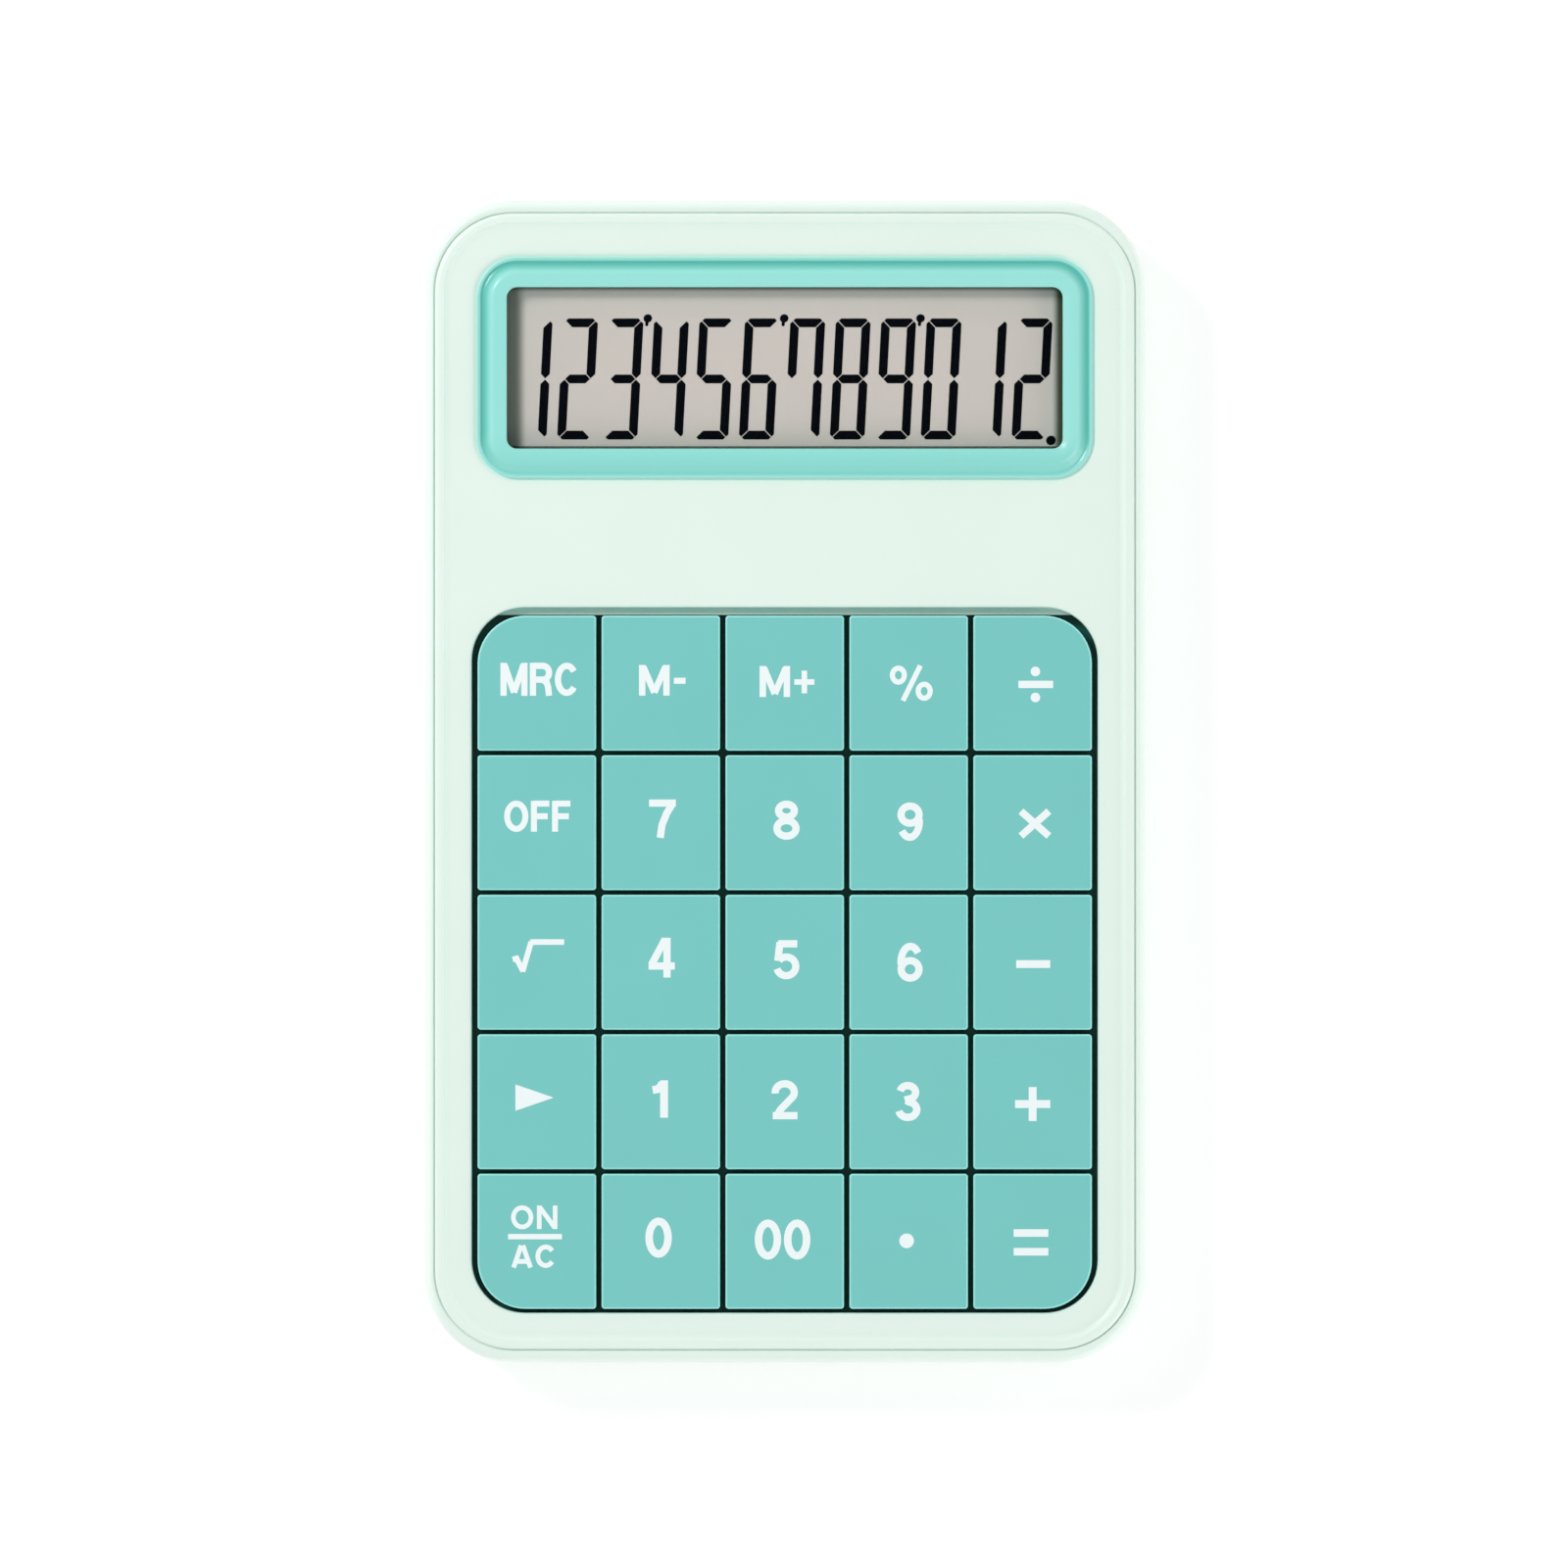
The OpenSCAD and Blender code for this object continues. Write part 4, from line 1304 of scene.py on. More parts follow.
@dataclass
class Display:
    """Teal bezel, clear lens, panel and its lit segments."""

    finishes: Finishes
    corner: float = 5.8 * MM
    trim: float = 0.3 * MM
    lip: float = 0.42 * MM
    lip_h: float = 0.34 * MM
    lip_edge: Point = (0.06 * MM, 0.04 * MM)
    lip_end: float = 0.02 * MM
    groove: float = 0.3 * MM
    groove_h: float = 0.2 * MM
    slope: float = 1.7 * MM
    seat_h: float = 0.25 * MM
    lens_gap: float = 0.05 * MM
    lens_edge: float = 0.15 * MM
    lens_corner: float = 0.5 * MM
    crown_h: float = 1.3 * MM
    inner_h: float = 0.95 * MM
    inner_edge: float = 0.25 * MM
    face_w: float = 4.3 * MM
    flange: float = 1.3 * MM
    skirt_t: float = 1.2 * MM
    lens_seat: float = 0.4 * MM
    text: str = "123456789012"
    ticks: tuple[int, ...] = (2, 5, 8)
    digit_h: float = 16.35 * MM
    digit_w: float = 3.8 * MM
    pitch: float = 6.62 * MM
    last_x: float = 36.02 * MM
    digits_y: float = 58.6 * MM
    bar: float = 1.28 * MM
    bar_gap: float = 0.13 * MM
    bar_blunt: float = 0.75 * MM
    bar_flat: float = 0.3 * MM
    slant: float = 3.0
    tick_at: Point = (0.476, 0.54)
    tick_size: Point = (1.25 * MM, 1.2 * MM)
    tail_step: Point = (-0.1 * MM, -0.65 * MM)
    tail_size: Point = (0.45 * MM, 1.0 * MM)
    dot_at: Point = (0.485, -0.547)
    dot_size: Point = (1.4 * MM, 1.4 * MM)
    mark_round: float = 0.49
    ink_t: float = 0.03 * MM
    ink_sink: float = 0.01 * MM
    bezel: Extent = field(default_factory=lambda: Extent.of("display_bezel"))
    lens: Extent = field(default_factory=lambda: Extent.of("display_lens"))
    cover: Extent = field(default_factory=lambda: Extent.of("upper_cover"))

    def __post_init__(self) -> None:
        """Works out the height of the cover's face."""
        self.face_z = self.cover.high.z - CaseShells.rim_h

    @staticmethod
    def plan() -> Plan:
        """Outline of the bezel.

        Returns:
            The outline.
        """
        bezel, trim = Extent.of("display_bezel"), Display.trim
        return Plan.even(bezel.size.x, bezel.size.y - trim, Display.corner,
                         (bezel.centre.x, bezel.centre.y - trim / 2))

    def crown_section(self) -> list[Point]:
        """Bezel section: lip, groove, slope, rounded crown, then down to the window.

        Returns:
            Points for Block.terrace.
        """
        start = self.lip + self.groove
        points = [self.lip_edge, (self.lip, self.lip_end), (start, self.groove_h - self.lip_h)]
        rise = self.crown_h - self.groove_h
        steps = 8
        for k in range(1, steps + 1):
            share = k / steps
            points.append((start + self.slope * share,
                           self.groove_h - self.lip_h + rise * share ** 2 * (3 - 2 * share)))
        crown_x, crown_z = points[-1]
        left = self.face_w - crown_x
        drop = self.crown_h - self.inner_h
        for k in range(1, steps + 1):
            share = k / steps
            points.append((crown_x + (left - self.inner_edge) * share, crown_z - drop * share ** 2))
        return after(points, flare_in(self.inner_edge, 4))

    def build_bezel(self) -> bpy.types.Object:
        """Models the bezel.

        Returns:
            The piece.
        """
        low, high = self.face_z - self.seat_h, self.face_z + self.lip_h - self.lip_edge[1]
        block = Block(self.plan(), low, high, 16)
        section = self.crown_section()
        down = self.lens.high.z - high - section[-1][1]
        crown = block.terrace(block.top, after(section, [(0.0, down)]))
        foot, seat = self.bezel.low.z - low, self.lens.high.z - self.lens_seat - low
        skirt = block.terrace(block.base, [
            (self.flange, 0.0),
            (self.flange, foot),
            (self.flange + self.skirt_t, foot),
            (self.flange + self.skirt_t, seat),
            (self.face_w, seat),
        ])
        rings = [list(crown.edges), list(skirt.edges)]
        bmesh.ops.delete(block.bm, geom=[crown, skirt], context="FACES_ONLY")
        bmesh.ops.bridge_loops(block.bm, edges=rings[0] + rings[1])
        piece = block.piece("bezel_frame")
        smooth(piece, 38)
        settle(piece, CASE, Slot.BEZEL, self.finishes)
        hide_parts("display_bezel")
        return piece

    def build_lens(self) -> bpy.types.Object:
        """Models the lens, a hair above the panel.

        Returns:
            The piece.
        """
        size = self.lens.size
        plan = Plan.even(size.x, size.y, self.lens_corner, self.lens.spot)
        block = Block(plan, self.lens.low.z + self.lens_gap, self.lens.high.z - self.lens_edge, 4)
        block.terrace(block.top, [(self.lens_edge, self.lens_edge)])
        piece = block.piece("lens_plate")
        settle(piece, CASE, Slot.LENS, self.finishes)
        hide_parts("display_lens")
        return piece

    def _bar(self, segment: Segment, x: float) -> Block:
        """One segment of a digit, with mitred or pointed ends.

        Args:
            segment: The segment.
            x: The digit's middle.

        Returns:
            The bar as a block.
        """
        share_x, share_y, upright = segment.value
        across = self.digit_h / 2 + self.bar if upright else self.digit_w + self.bar
        sides = (self.bar, across) if upright else (across, self.bar)
        low = self.lens.low.z - self.ink_sink
        middle = (x + share_x * self.digit_w, self.digits_y + share_y * self.digit_h)
        block = Block(Plan.even(*sides, 0.0, middle), low, low + self.ink_t)
        cuts = segment.cuts(self.digit_w, self.digit_h, self.bar, self.bar_gap,
                            self.bar_blunt, self.bar_flat)
        for (px, py), (nx, ny) in cuts:
            cut = bmesh.ops.bisect_plane(
                block.bm, geom=[*block.bm.verts, *block.bm.edges, *block.bm.faces],
                plane_co=(x + px, self.digits_y + py, low), plane_no=(nx, ny, 0.0),
                clear_outer=True)
            rim = [g for g in cut["geom_cut"] if isinstance(g, bmesh.types.BMEdge)]
            bmesh.ops.edgenet_fill(block.bm, edges=rim)
        return block

    def build_segments(self) -> bpy.types.Object:
        """Models the lit segments, ticks and the decimal point.

        Returns:
            The piece.
        """
        bars: list[Block] = []
        first_x = self.last_x - self.pitch * (len(self.text) - 1)
        for place, digit in enumerate(self.text):
            x = first_x + place * self.pitch
            bars += [self._bar(Segment[name], x) for name in LIT[digit]]
            if place in self.ticks:
                bars += self._tick(x)
        bars.append(self._mark(self._beside(self.last_x, self.dot_at), self.dot_size))
        whole = merged(bars)
        lean = Matrix.Identity(4)
        lean[0][1] = math.tan(math.radians(self.slant))
        space = Matrix.Translation((0, -self.digits_y, 0))
        bmesh.ops.transform(whole.bm, matrix=space.inverted() @ lean @ space, verts=whole.bm.verts)
        piece = whole.piece("display_segments")
        settle(piece, CASE, Slot.DISPLAY, self.finishes, self.finishes.segment)
        return piece

    def _beside(self, x: float, shares: Point) -> Point:
        """A place beside a digit, as shares of the pitch and of the digit's height."""
        return (x + self.pitch * shares[0], self.digits_y + self.digit_h * shares[1])

    def _mark(self, spot: Point, size: Point) -> Block:
        """Small round-cornered mark in the segments' ink."""
        low = self.lens.low.z
        return Block(Plan.even(*size, min(size) * self.mark_round, spot), low, low + self.ink_t, 4)

    def _tick(self, x: float) -> list[Block]:
        """Thousands tick to the upper right of a digit: a dot with a short tail.

        Args:
            x: The digit's middle.

        Returns:
            The dot and the tail, which lies a trace higher so that no faces coincide.
        """
        spot = self._beside(x, self.tick_at)
        below = (spot[0] + self.tail_step[0], spot[1] + self.tail_step[1])
        tail = self._mark(below, self.tail_size)
        bmesh.ops.translate(tail.bm, vec=(0, 0, self.ink_t / 8), verts=tail.bm.verts)
        return [self._mark(spot, self.tick_size), tail]


# ------------------------------------------------------------------- the keys


Knot = tuple[float, ...]


@dataclass(frozen=True)
class Glyph:
    """A letter drawn by a pen in a box one unit high.

    A path holds points (x, y) and arcs (x, y, radius x, radius y, from, to) in degrees,
    all on the pen's middle. The pen is nominally 0.18 wide.
    """

    width: float
    paths: tuple[tuple[Knot, ...], ...]


PEN = 0.18
GLYPHS: dict[str, Glyph] = {
    "0": Glyph(0.68, (((0.34, 0.5, 0.25, 0.41, 0, 360),),)),
    "1": Glyph(0.46, (((0.36, 0.0), (0.36, 1.0)),
                      ((0.03, 0.74), (0.16, 0.76), (0.26, 0.83), (0.31, 0.93)))),
    "2": Glyph(0.70, (((0.35, 0.69, 0.255, 0.22, 188, -28), (0.24, 0.25), (0.14, 0.09)),
                      ((0.03, 0.09), (0.69, 0.09)))),
    "3": Glyph(0.70, (((0.34, 0.735, 0.23, 0.175, 168, -86), (0.25, 0.535)),
                      ((0.30, 0.53), (0.34, 0.29, 0.265, 0.2, 84, -170)))),
    "4": Glyph(0.74, (((0.52, 0.0), (0.52, 1.0)), ((0.0, 0.29), (0.74, 0.29)),
                      ((0.47, 0.97), (0.08, 0.32)))),
    "5": Glyph(0.70, (((0.13, 0.91), (0.65, 0.91)), ((0.18, 0.95), (0.12, 0.47)),
                      ((0.35, 0.33, 0.26, 0.24, 140, -165),))),
    "6": Glyph(0.70, (((0.35, 0.315, 0.25, 0.225, 0, 360),), ((0.36, 0.5, 0.265, 0.41, 190, 36),))),
    "7": Glyph(0.71, (((0.0, 0.91), (0.70, 0.91)),
                      ((0.61, 0.89), (0.46, 0.64), (0.34, 0.34), (0.29, 0.0)))),
    "8": Glyph(0.70, (((0.35, 0.745, 0.215, 0.165, 0, 360),), ((0.35, 0.29, 0.26, 0.2, 0, 360),))),
    "9": Glyph(0.70, (((0.35, 0.685, 0.25, 0.225, 0, 360),),
                      ((0.34, 0.5, 0.265, 0.41, 10, -144),))),
    "M": Glyph(0.84, (((0.09, 0.0), (0.09, 1.0)), ((0.75, 0.0), (0.75, 1.0)),
                      ((0.12, 0.94), (0.42, 0.1)), ((0.72, 0.94), (0.42, 0.1)))),
    "R": Glyph(0.70, (((0.09, 0.0), (0.09, 1.0)),
                      ((0.10, 0.91), (0.40, 0.70, 0.2, 0.21, 90, -90), (0.10, 0.49)),
                      ((0.42, 0.47), (0.53, 0.40), (0.57, 0.26), (0.60, 0.0)))),
    "C": Glyph(0.74, (((0.37, 0.5, 0.28, 0.41, 36, 324),),)),
    "O": Glyph(0.76, (((0.38, 0.5, 0.29, 0.41, 0, 360),),)),
    "F": Glyph(0.58, (((0.09, 0.0), (0.09, 1.0)), ((0.10, 0.91), (0.58, 0.91)),
                      ((0.10, 0.50), (0.53, 0.50)))),
    "N": Glyph(0.70, (((0.09, 0.0), (0.09, 1.0)), ((0.61, 0.0), (0.61, 1.0)),
                      ((0.10, 0.94), (0.60, 0.06)))),
    "A": Glyph(0.76, (((0.08, 0.0), (0.35, 0.98)), ((0.68, 0.0), (0.41, 0.98)),
                      ((0.17, 0.27), (0.59, 0.27)))),
    "%": Glyph(1.22, (((0.255, 0.72, 0.165, 0.19, 0, 360),), ((0.965, 0.28, 0.165, 0.19, 0, 360),),
                      ((0.38, 0.0), (0.86, 1.0)))),
    "root": Glyph(1.5, (((0.03, 0.42), (0.14, 0.45), (0.33, 0.08)), ((0.31, 0.07), (0.56, 0.93)),
                        ((0.53, 0.92), (1.5, 0.92)))),
    "+": Glyph(1.0, (((0.0, 0.5), (1.0, 0.5)), ((0.5, 0.0), (0.5, 1.0)))),
    "x": Glyph(1.0, (((0.06, 0.06), (0.94, 0.94)), ((0.94, 0.06), (0.06, 0.94)))),
}


@dataclass(frozen=True)
class Mark:
    """One mark of a legend, in millimetres from the key's middle.

    The text holds glyph names. An empty text is a plain block with the given corner radius.
    """

    x: float
    y: float
    width: float
    height: float
    text: tuple[str, ...] = ()
    pen: float = 1.0
    corner: float = 0.05


LEGENDS: dict[str, tuple[Mark, ...]] = {
    "key_mrc": (Mark(0.4, 0.56, 11.4, 4.85, tuple("MRC"), 0.92),),
    "key_m_minus": (Mark(-0.94, 0.42, 4.47, 4.6, ("M",), 0.94), Mark(2.75, 0.35, 1.7, 0.88)),
    "key_m_plus": (Mark(-1.44, 0.24, 4.44, 4.64, ("M",), 0.94),
                   Mark(2.85, 0.17, 3.2, 3.5, ("+",), 0.8)),
    "key_percent": (Mark(0.38, 0.0, 6.26, 5.12, ("%",), 0.76),),
    "key_divide": (Mark(0.45, -0.18, 5.05, 1.07), Mark(0.4, 1.7, 1.4, 1.4, corner=0.69),
                   Mark(0.4, -2.08, 1.4, 1.4, corner=0.69)),
    "key_off": (Mark(0.08, 0.94, 9.68, 4.56, tuple("OFF"), 0.88),),
    "key_7": (Mark(0.27, 0.58, 4.0, 5.6, ("7",), 1.05),),
    "key_8": (Mark(0.25, 0.37, 3.84, 5.7, ("8",), 1.06),),
    "key_9": (Mark(0.2, 0.15, 3.8, 5.6, ("9",), 1.06),),
    "key_multiply": (Mark(0.33, -0.13, 4.84, 4.41, ("x",), 1.05),),
    "key_root": (Mark(0.15, 0.81, 7.54, 4.98, ("root",), 0.82),),
    "key_4": (Mark(0.13, 0.67, 3.95, 5.8, ("4",), 1.06),),
    "key_5": (Mark(0.22, 0.37, 3.84, 5.7, ("5",), 1.06),),
    "key_6": (Mark(0.2, 0.01, 3.76, 5.67, ("6",), 1.06),),
    "key_minus": (Mark(0.08, -0.26, 4.95, 1.14),),
    "key_arrow": (Mark(-0.38, 0.61, 5.48, 3.84),),
    "key_1": (Mark(-0.18, 0.41, 2.56, 5.61, ("1",), 1.15),),
    "key_2": (Mark(0.0, 0.31, 3.9, 5.7, ("2",), 1.06),),
    "key_3": (Mark(-0.08, 0.05, 3.65, 5.7, ("3",), 1.08),),
    "key_plus": (Mark(0.0, -0.32, 5.35, 5.2, ("+",), 1.15),),
    "key_on_ac": (Mark(-0.38, 3.5, 6.76, 3.49, tuple("ON"), 0.68), Mark(-0.27, 0.69, 7.83, 0.78),
                  Mark(-0.45, -2.16, 6.48, 3.4, tuple("AC"), 0.7)),
    "key_0": (Mark(-0.32, 0.55, 3.86, 5.84, ("0",), 1.1),),
    "key_00": (Mark(-0.32, 0.27, 8.11, 5.84, tuple("00"), 1.1),),
    "key_point": (Mark(-0.3, 0.08, 2.14, 2.14, corner=1.06),),
    "key_equals": (Mark(-0.24, 1.22, 5.05, 1.1), Mark(-0.24, -1.51, 5.05, 1.1)),
}


class Pen:
    """Sweeps a nib along a path and gives the ribbon a thickness.

    A mitre makes up for a turn down to its least cosine. Each stroke is thicker than the
    last by one share, so that no faces coincide where two strokes cross.
    """

    least_cosine = 0.7
    stroke_share = 0.08
    least_steps = 6

    def __init__(self, width: float, thickness: float) -> None:
        """Starts with an empty mesh.

        Args:
            width: Width of the nib.
            thickness: Thickness of the ink.
        """
        self.width = width
        self.thickness = thickness
        self.bm = bmesh.new()
        self.strokes = 0

    @staticmethod
    def trace(path: Sequence[Knot], steps: int = 28) -> list[Vector]:
        """Turns a path's points and arcs into points.

        Args:
            path: The path.
            steps: Points in a full turn.

        Returns:
            The points.
        """
        points = []
        for knot in path:
            if len(knot) == 2:
                points.append(Vector((*knot, 0.0)))
                continue
            x, y, rx, ry, start, end = knot
            count = max(Pen.least_steps, round(abs(end - start) / 360 * steps))
            for k in range(count + 1):
                angle = math.radians(start + (end - start) * k / count)
                points.append(Vector((x + rx * math.cos(angle), y + ry * math.sin(angle), 0.0)))
        return points

    def draw(self, points: Sequence[Vector]) -> None:
        """Sweeps the nib along points and lifts the ribbon to the ink's thickness.

        Args:
            points: The nib's middle. A ring ends on its first point.
        """
        ring = (points[0] - points[-1]).length < 1e-9
        last = len(points) - 1
        edge, faces = None, []
        for k, point in enumerate(points):
            before = points[k - 1 if k else (last - 1 if ring else 0)]
            behind = points[k + 1 if k < last else (1 if ring else last)]
            into, out = (point - before).normalized(), (behind - point).normalized()
            along = (into + out).normalized()
            mitre = 1 / max(self.least_cosine, along.dot(out if out.length else into))
            across = Vector((-along.y, along.x, 0.0)) * self.width / 2 * mitre
            if edge is None:
                ends = [self.bm.verts.new(point + across), self.bm.verts.new(point - across)]
                edge = self.bm.edges.new(ends)
            else:
                grown = bmesh.ops.extrude_edge_only(self.bm, edges=[edge])["geom"]
                edge = next(g for g in grown if isinstance(g, bmesh.types.BMEdge)
                            and not set(g.verts) & set(edge.verts))
                faces += [g for g in grown if isinstance(g, bmesh.types.BMFace)]
                sides = sorted(edge.verts, key=lambda v: -(v.co - points[k - 1]).dot(sideways))
                for vert, offset in zip(sides, (across, -across)):
                    vert.co = point + offset
            sideways = across
        made = bmesh.ops.extrude_face_region(self.bm, geom=faces, use_keep_orig=True)["geom"]
        risen = [g for g in made if isinstance(g, bmesh.types.BMVert)]
        lift = self.thickness * (1 + self.stroke_share * self.strokes)
        bmesh.ops.translate(self.bm, vec=(0, 0, lift), verts=risen)
        self.strokes += 1

    def mesh(self) -> bpy.types.Mesh:
        """Writes the strokes to a mesh.

        Returns:
            The mesh.
        """
        bmesh.ops.remove_doubles(self.bm, verts=self.bm.verts, dist=1e-8)
        bmesh.ops.recalc_face_normals(self.bm, faces=self.bm.faces)
        return written(self.bm, "ink")


@dataclass
class Keypad:
    """The 25 tile keys with their stems, hooks and printed legends."""

    finishes: Finishes
    corner: float = 0.45 * MM
    outer_corner: float = 6.95 * MM
    edge: float = 0.35 * MM
    top_t: float = 1.4 * MM
    skirt_t: float = 1.1 * MM
    inner_corner: float = 0.3 * MM
    cap_h: float = 3.2 * MM
    stem_w: float = 5.0 * MM
    hook_reach: float = 0.7 * MM
    hook_h: float = 0.8 * MM
    hook_step: float = 0.4 * MM
    hook_lap: float = 0.1 * MM
    inset: float = 0.06 * MM
    grid_low: float = 10.8 * MM
    ink_t: float = 0.03 * MM
    ink_sink: float = 0.008 * MM
    letter_gap: float = 0.09
    arrow_tip: float = 0.03 * MM
    near: float = 2 * MM

    @staticmethod
    def nodes() -> list[str]:
        """Names of the key nodes."""
        return sorted(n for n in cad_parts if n.startswith("key_"))

    def _radii(self, node: str) -> tuple[float, float, float, float]:
        """Corner radii of one key. A key at the well's corner has one large one.

        Args:
            node: The key's node.

        Returns:
            The radii in the order of CORNERS.
        """
        spots = [Extent.of(n).spot for n in self.nodes()]
        rows = [spot[1] for spot in spots]
        far_x, low_y, high_y = max(spot[0] for spot in spots), min(rows), max(rows)
        x, y = Extent.of(node).spot
        radii = []
        for sx, sy in CORNERS:
            at_x = abs(x - sx * far_x) < self.near
            at_y = abs(y - (high_y if sy > 0 else low_y)) < self.near
            radii.append(self.outer_corner if at_x and at_y else self.corner)
        return tuple(radii)

    def build_key(self, node: str) -> bpy.types.Object:
        """Models one key.

        Args:
            node: The CAD node that it stands for.

        Returns:
            The piece.
        """
        box = Extent.of(node)
        radii = self._radii(node)
        plan = Plan(box.size.x - 2 * self.inset, box.size.y - 2 * self.inset, radii, box.spot)
        top, low = box.high.z, box.high.z - self.cap_h
        block = Block(plan, low, top - self.edge, 14 if max(radii) > MM else 6)
        block.terrace(block.top, round_over(self.edge, 5))
        piece = block.piece("cap_" + node.removeprefix("key_"))
        hollow = Plan(plan.width - 2 * self.skirt_t, plan.length - 2 * self.skirt_t,
                      tuple(max(r - self.skirt_t, self.inner_corner) for r in radii), box.spot)
        shape(piece, [(Join.CUT, Block(hollow, low - MM, top - self.top_t, 6)), *self._stem(box)])
        smooth(piece)
        settle(piece, node, Slot.KEY, self.finishes)
        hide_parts(node)
        return piece

    def _stem(self, box: Extent) -> list[tuple[Join, Block]]:
        """Square stem with its two retaining hooks.

        Args:
            box: The key's box.

        Returns:
            The changes, in order.
        """
        x, y = box.spot
        square = Plan.even(self.stem_w, self.stem_w, 0.0, box.spot)
        changes = [(Join.FUSE, Block(square, box.low.z, box.high.z - self.top_t / 2))]
        for side in (-1, 1):
            spot = (x + side * (self.stem_w + self.hook_reach) / 2, y)
            hook = Block(Plan.even(self.hook_reach, self.stem_w - 2 * self.hook_step, 0.0, spot),
                         self.grid_low - self.hook_h, self.grid_low)
            for vert in hook.bm.verts:
                if side * (vert.co.x - spot[0]) < 0:
                    vert.co.x -= side * self.hook_lap
                elif vert.co.z < self.grid_low - self.hook_h / 2:
                    vert.co.z += self.hook_h / 2
            changes.append((Join.FUSE, hook))
        return changes

    def build_legend(self, node: str) -> bpy.types.Object:
        """Models one key's printed legend.

        Args:
            node: The key's node and body.

        Returns:
            The piece.
        """
        box = Extent.of(node)
        whole = bmesh.new()
        for mark in LEGENDS[node]:
            ink = self._written(mark) if mark.text else self._plain(mark, node == "key_arrow")
            whole.from_mesh(ink)
            bpy.data.meshes.remove(ink)
        low = box.high.z - self.ink_sink
        bmesh.ops.translate(whole, vec=(box.spot[0], box.spot[1], low), verts=whole.verts)
        name = "legend_" + node.removeprefix("key_")
        piece = linked(name, written(whole, name))
        settle(piece, node, Slot.KEY, self.finishes, self.finishes.legend)
        return piece

    def _written(self, mark: Mark) -> bpy.types.Mesh:
        """Draws a mark's glyphs side by side, fitted to its box.

        Args:
            mark: The mark.

        Returns:
            The ink's mesh.
        """
        nib = mark.pen * MM
        glyphs = [GLYPHS[name] for name in mark.text]
        total = sum(g.width for g in glyphs) + self.letter_gap * (len(glyphs) - 1)
        wide = (mark.width * MM - nib) / (total - PEN)
        high = (mark.height * MM - nib) / (1 - PEN)
        left, start = mark.x * MM - mark.width * MM / 2, 0.0
        floor = mark.y * MM - mark.height * MM / 2
        pen = Pen(nib, self.ink_t)
        for glyph in glyphs:
            for path in glyph.paths:
                points = []
                for spot in Pen.trace(path):
                    x = left + nib / 2 + (start + spot.x - PEN / 2) * wide
                    y = floor + nib / 2 + (spot.y - PEN / 2) * high
                    points.append(Vector((x, min(max(y, floor), floor + mark.height * MM), 0.0)))
                pen.draw(points)
            start += glyph.width + self.letter_gap
        return pen.mesh()

    def _plain(self, mark: Mark, arrow: bool) -> bpy.types.Mesh:
        """Makes a bar, a dot or the arrow head.

        Args:
            mark: The mark.
            arrow: Whether its right side is drawn in to a point.

        Returns:
            The ink's mesh.
        """
        spot = (mark.x * MM, mark.y * MM)
        corner = 0.0 if arrow else mark.corner * MM
        plan = Plan.even(mark.width * MM, mark.height * MM, corner, spot)
        block = Block(plan, 0.0, self.ink_t, 6)
        if arrow:
            for vert in block.bm.verts:
                if vert.co.x > spot[0]:
                    vert.co.y = spot[1] + math.copysign(self.arrow_tip, vert.co.y - spot[1])
        return written(block.bm, "ink")


# ------------------------------------------------- materials of the CAD nodes


CAD_SLOTS: dict[str, Slot] = {
    "lower_case": Slot.CASE,
    "upper_cover": Slot.CASE,
    "display_bezel": Slot.BEZEL,
    "display_lens": Slot.LENS,
    "lcd_panel": Slot.DISPLAY,
    "lcd_holder": Slot.CASE,
    "lcd_ribbon": Slot.RIBBON,
    "holder_screws": Slot.SCREW,
    "circuit_board": Slot.BOARD,
    "controller_chip": Slot.CHIP,
    "board_components": Slot.COMPONENT,
    "board_screws": Slot.SCREW,
    "rubber_keypad": Slot.KEYPAD,
    "battery_cell": Slot.CELL,
    "battery_spring": Slot.CONTACT,
    "battery_contact_plate": Slot.CONTACT,
    "battery_door": Slot.CASE,
    "case_screws": Slot.SCREW,
    "rubber_feet": Slot.FOOT,
}


# ----------------------------------------------------------------- the studio


@dataclass(frozen=True)
class Lamp:
    """A soft square lamp that faces the object, with its side in metres and its power in watts."""

    name: str
    place: tuple[float, float, float]
    side: float
    power: float

    def hang(self) -> None:
        """Hangs the lamp."""
        data = bpy.data.lights.new(self.name, "AREA")
        data.size = self.side
        data.energy = self.power
        lamp = linked(self.name, data)
        lamp.location = self.place
        lamp.rotation_euler = (-Vector(self.place)).to_track_quat("-Z", "Y").to_euler()


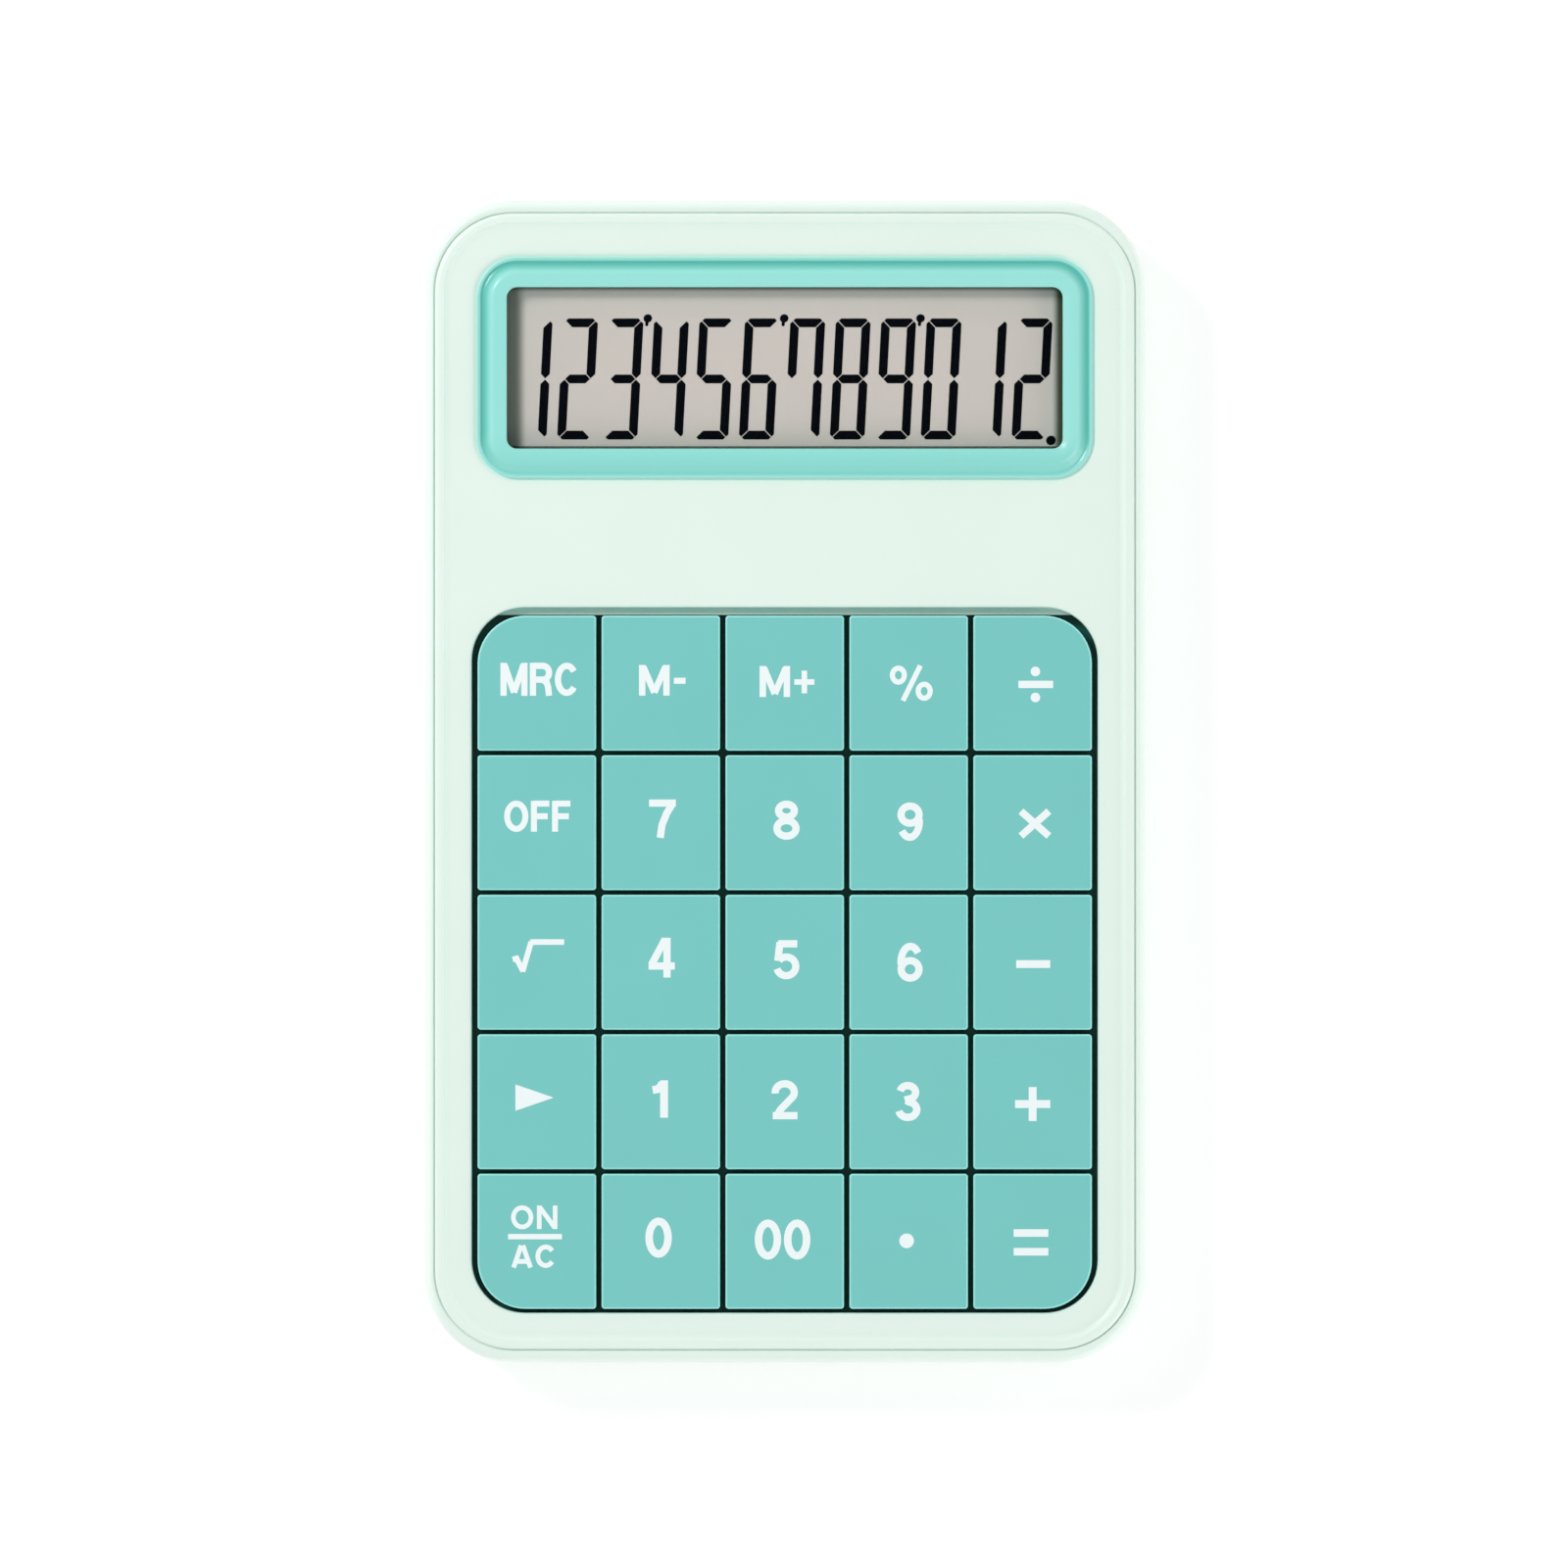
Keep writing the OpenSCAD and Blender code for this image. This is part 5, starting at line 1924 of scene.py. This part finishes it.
@dataclass
class Studio:
    """Camera straight above, pale floor and soft light."""

    image: float = 1600.0
    pixels_per_mm: float = 7.005
    middle_px: Point = (800.75, 797.25)
    distance: float = 2.2
    level: float = 14 * MM
    sensor: float = 36.0
    clip: tuple[float, float] = (0.01, 30.0)
    floor_size: float = 8.0
    floor_glow: float = 0.31
    paper: float = 0.9
    sky_low: float = 1.0
    sky_high: float = 0.28
    sky_from: float = 0.3
    lamps: tuple[Lamp, ...] = (Lamp("key", (-0.8, 0.6, 1.0), 0.3, 7.5),
                               Lamp("fill", (1.1, -0.75, 0.55), 0.9, 6.0))

    def camera(self) -> None:
        """Sets the camera by its scale at the level of the key tops and the case's middle."""
        seen = self.image / self.pixels_per_mm * MM
        data = bpy.data.cameras.new("camera")
        data.sensor_width = self.sensor
        data.lens = self.sensor * self.distance / seen
        data.clip_start, data.clip_end = self.clip
        eye = linked("camera", data)
        x = (self.image / 2 - self.middle_px[0]) / self.pixels_per_mm * MM
        y = (self.middle_px[1] - self.image / 2) / self.pixels_per_mm * MM
        eye.location = (x, y, self.distance + self.level)
        bpy.context.scene.camera = eye

    def floor(self) -> None:
        """Lays the floor, whose glow shows in views and mirrors but doesn't light the object."""
        bm = bmesh.new()
        bmesh.ops.create_grid(bm, x_segments=1, y_segments=1, size=self.floor_size / 2)
        ground = linked("floor", written(bm, "floor"))
        recipe = Recipe("floor_paper")
        seen = recipe.node("LightPath", output="Is Camera Ray")
        tooth = recipe.noise(0.6 * MM, 3.0)
        glossy = recipe.node("LightPath", output="Is Glossy Ray")
        through = recipe.node("LightPath", output="Is Transmission Ray")
        shown = seen.at_least(glossy.at_least(through))
        glow = self.floor_glow
        ground.data.materials.append(recipe.surface({
            "Base Color": (self.paper, self.paper, self.paper, 1.0),
            "Roughness": 0.85 + tooth * 0.1,
            "Specular IOR Level": 0.0,
            "Emission Color": recipe.tint(shown, (0.0, 0.0, 0.0, 1.0), (glow, glow, glow, 1.0)),
            "Emission Strength": 1.0,
        }))

    def world(self) -> None:
        """Fills the room with light that is stronger towards the horizon."""
        world = bpy.data.worlds.new("room")
        world.use_nodes = True
        tree = world.node_tree
        place = tree.nodes.new("ShaderNodeTexCoord")
        parts = tree.nodes.new("ShaderNodeSeparateXYZ")
        fall = tree.nodes.new("ShaderNodeMapRange")
        for name, value in (("From Min", self.sky_from), ("From Max", 1.0),
                            ("To Min", self.sky_low), ("To Max", self.sky_high)):
            fall.inputs[name].default_value = value
        tree.links.new(place.outputs["Generated"], parts.inputs["Vector"])
        tree.links.new(parts.outputs["Z"], fall.inputs["Value"])
        tree.links.new(fall.outputs["Result"], tree.nodes["Background"].inputs["Strength"])
        tree.nodes["Background"].inputs["Color"].default_value = (1.0, 1.0, 1.0, 1.0)
        bpy.context.scene.world = world

    def build(self) -> None:
        """Builds the studio."""
        self.camera()
        self.floor()
        self.world()
        for lamp in self.lamps:
            lamp.hang()
        bpy.context.scene.view_settings.view_transform = "Standard"


def main() -> None:
    """Builds the calculator and its studio."""
    logging.basicConfig(level=logging.INFO, format="%(name)s: %(message)s")
    Studio().build()
    finishes = Finishes()
    shells = CaseShells(finishes)
    for build in (shells.build_cover, shells.build_lower):
        LOG.info("built %s", build().name)
    display = Display(finishes)
    for build in (display.build_bezel, display.build_lens, display.build_segments):
        LOG.info("built %s", build().name)
    keypad = Keypad(finishes)
    for node in keypad.nodes():
        LOG.info("built %s and %s", keypad.build_key(node).name, keypad.build_legend(node).name)
    for node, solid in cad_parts.items():
        finishes.dress(solid, CAD_SLOTS.get(node, Slot.KEY))
    LOG.info("dressed %d CAD nodes", len(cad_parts))


if __name__ == "__main__":
    main()
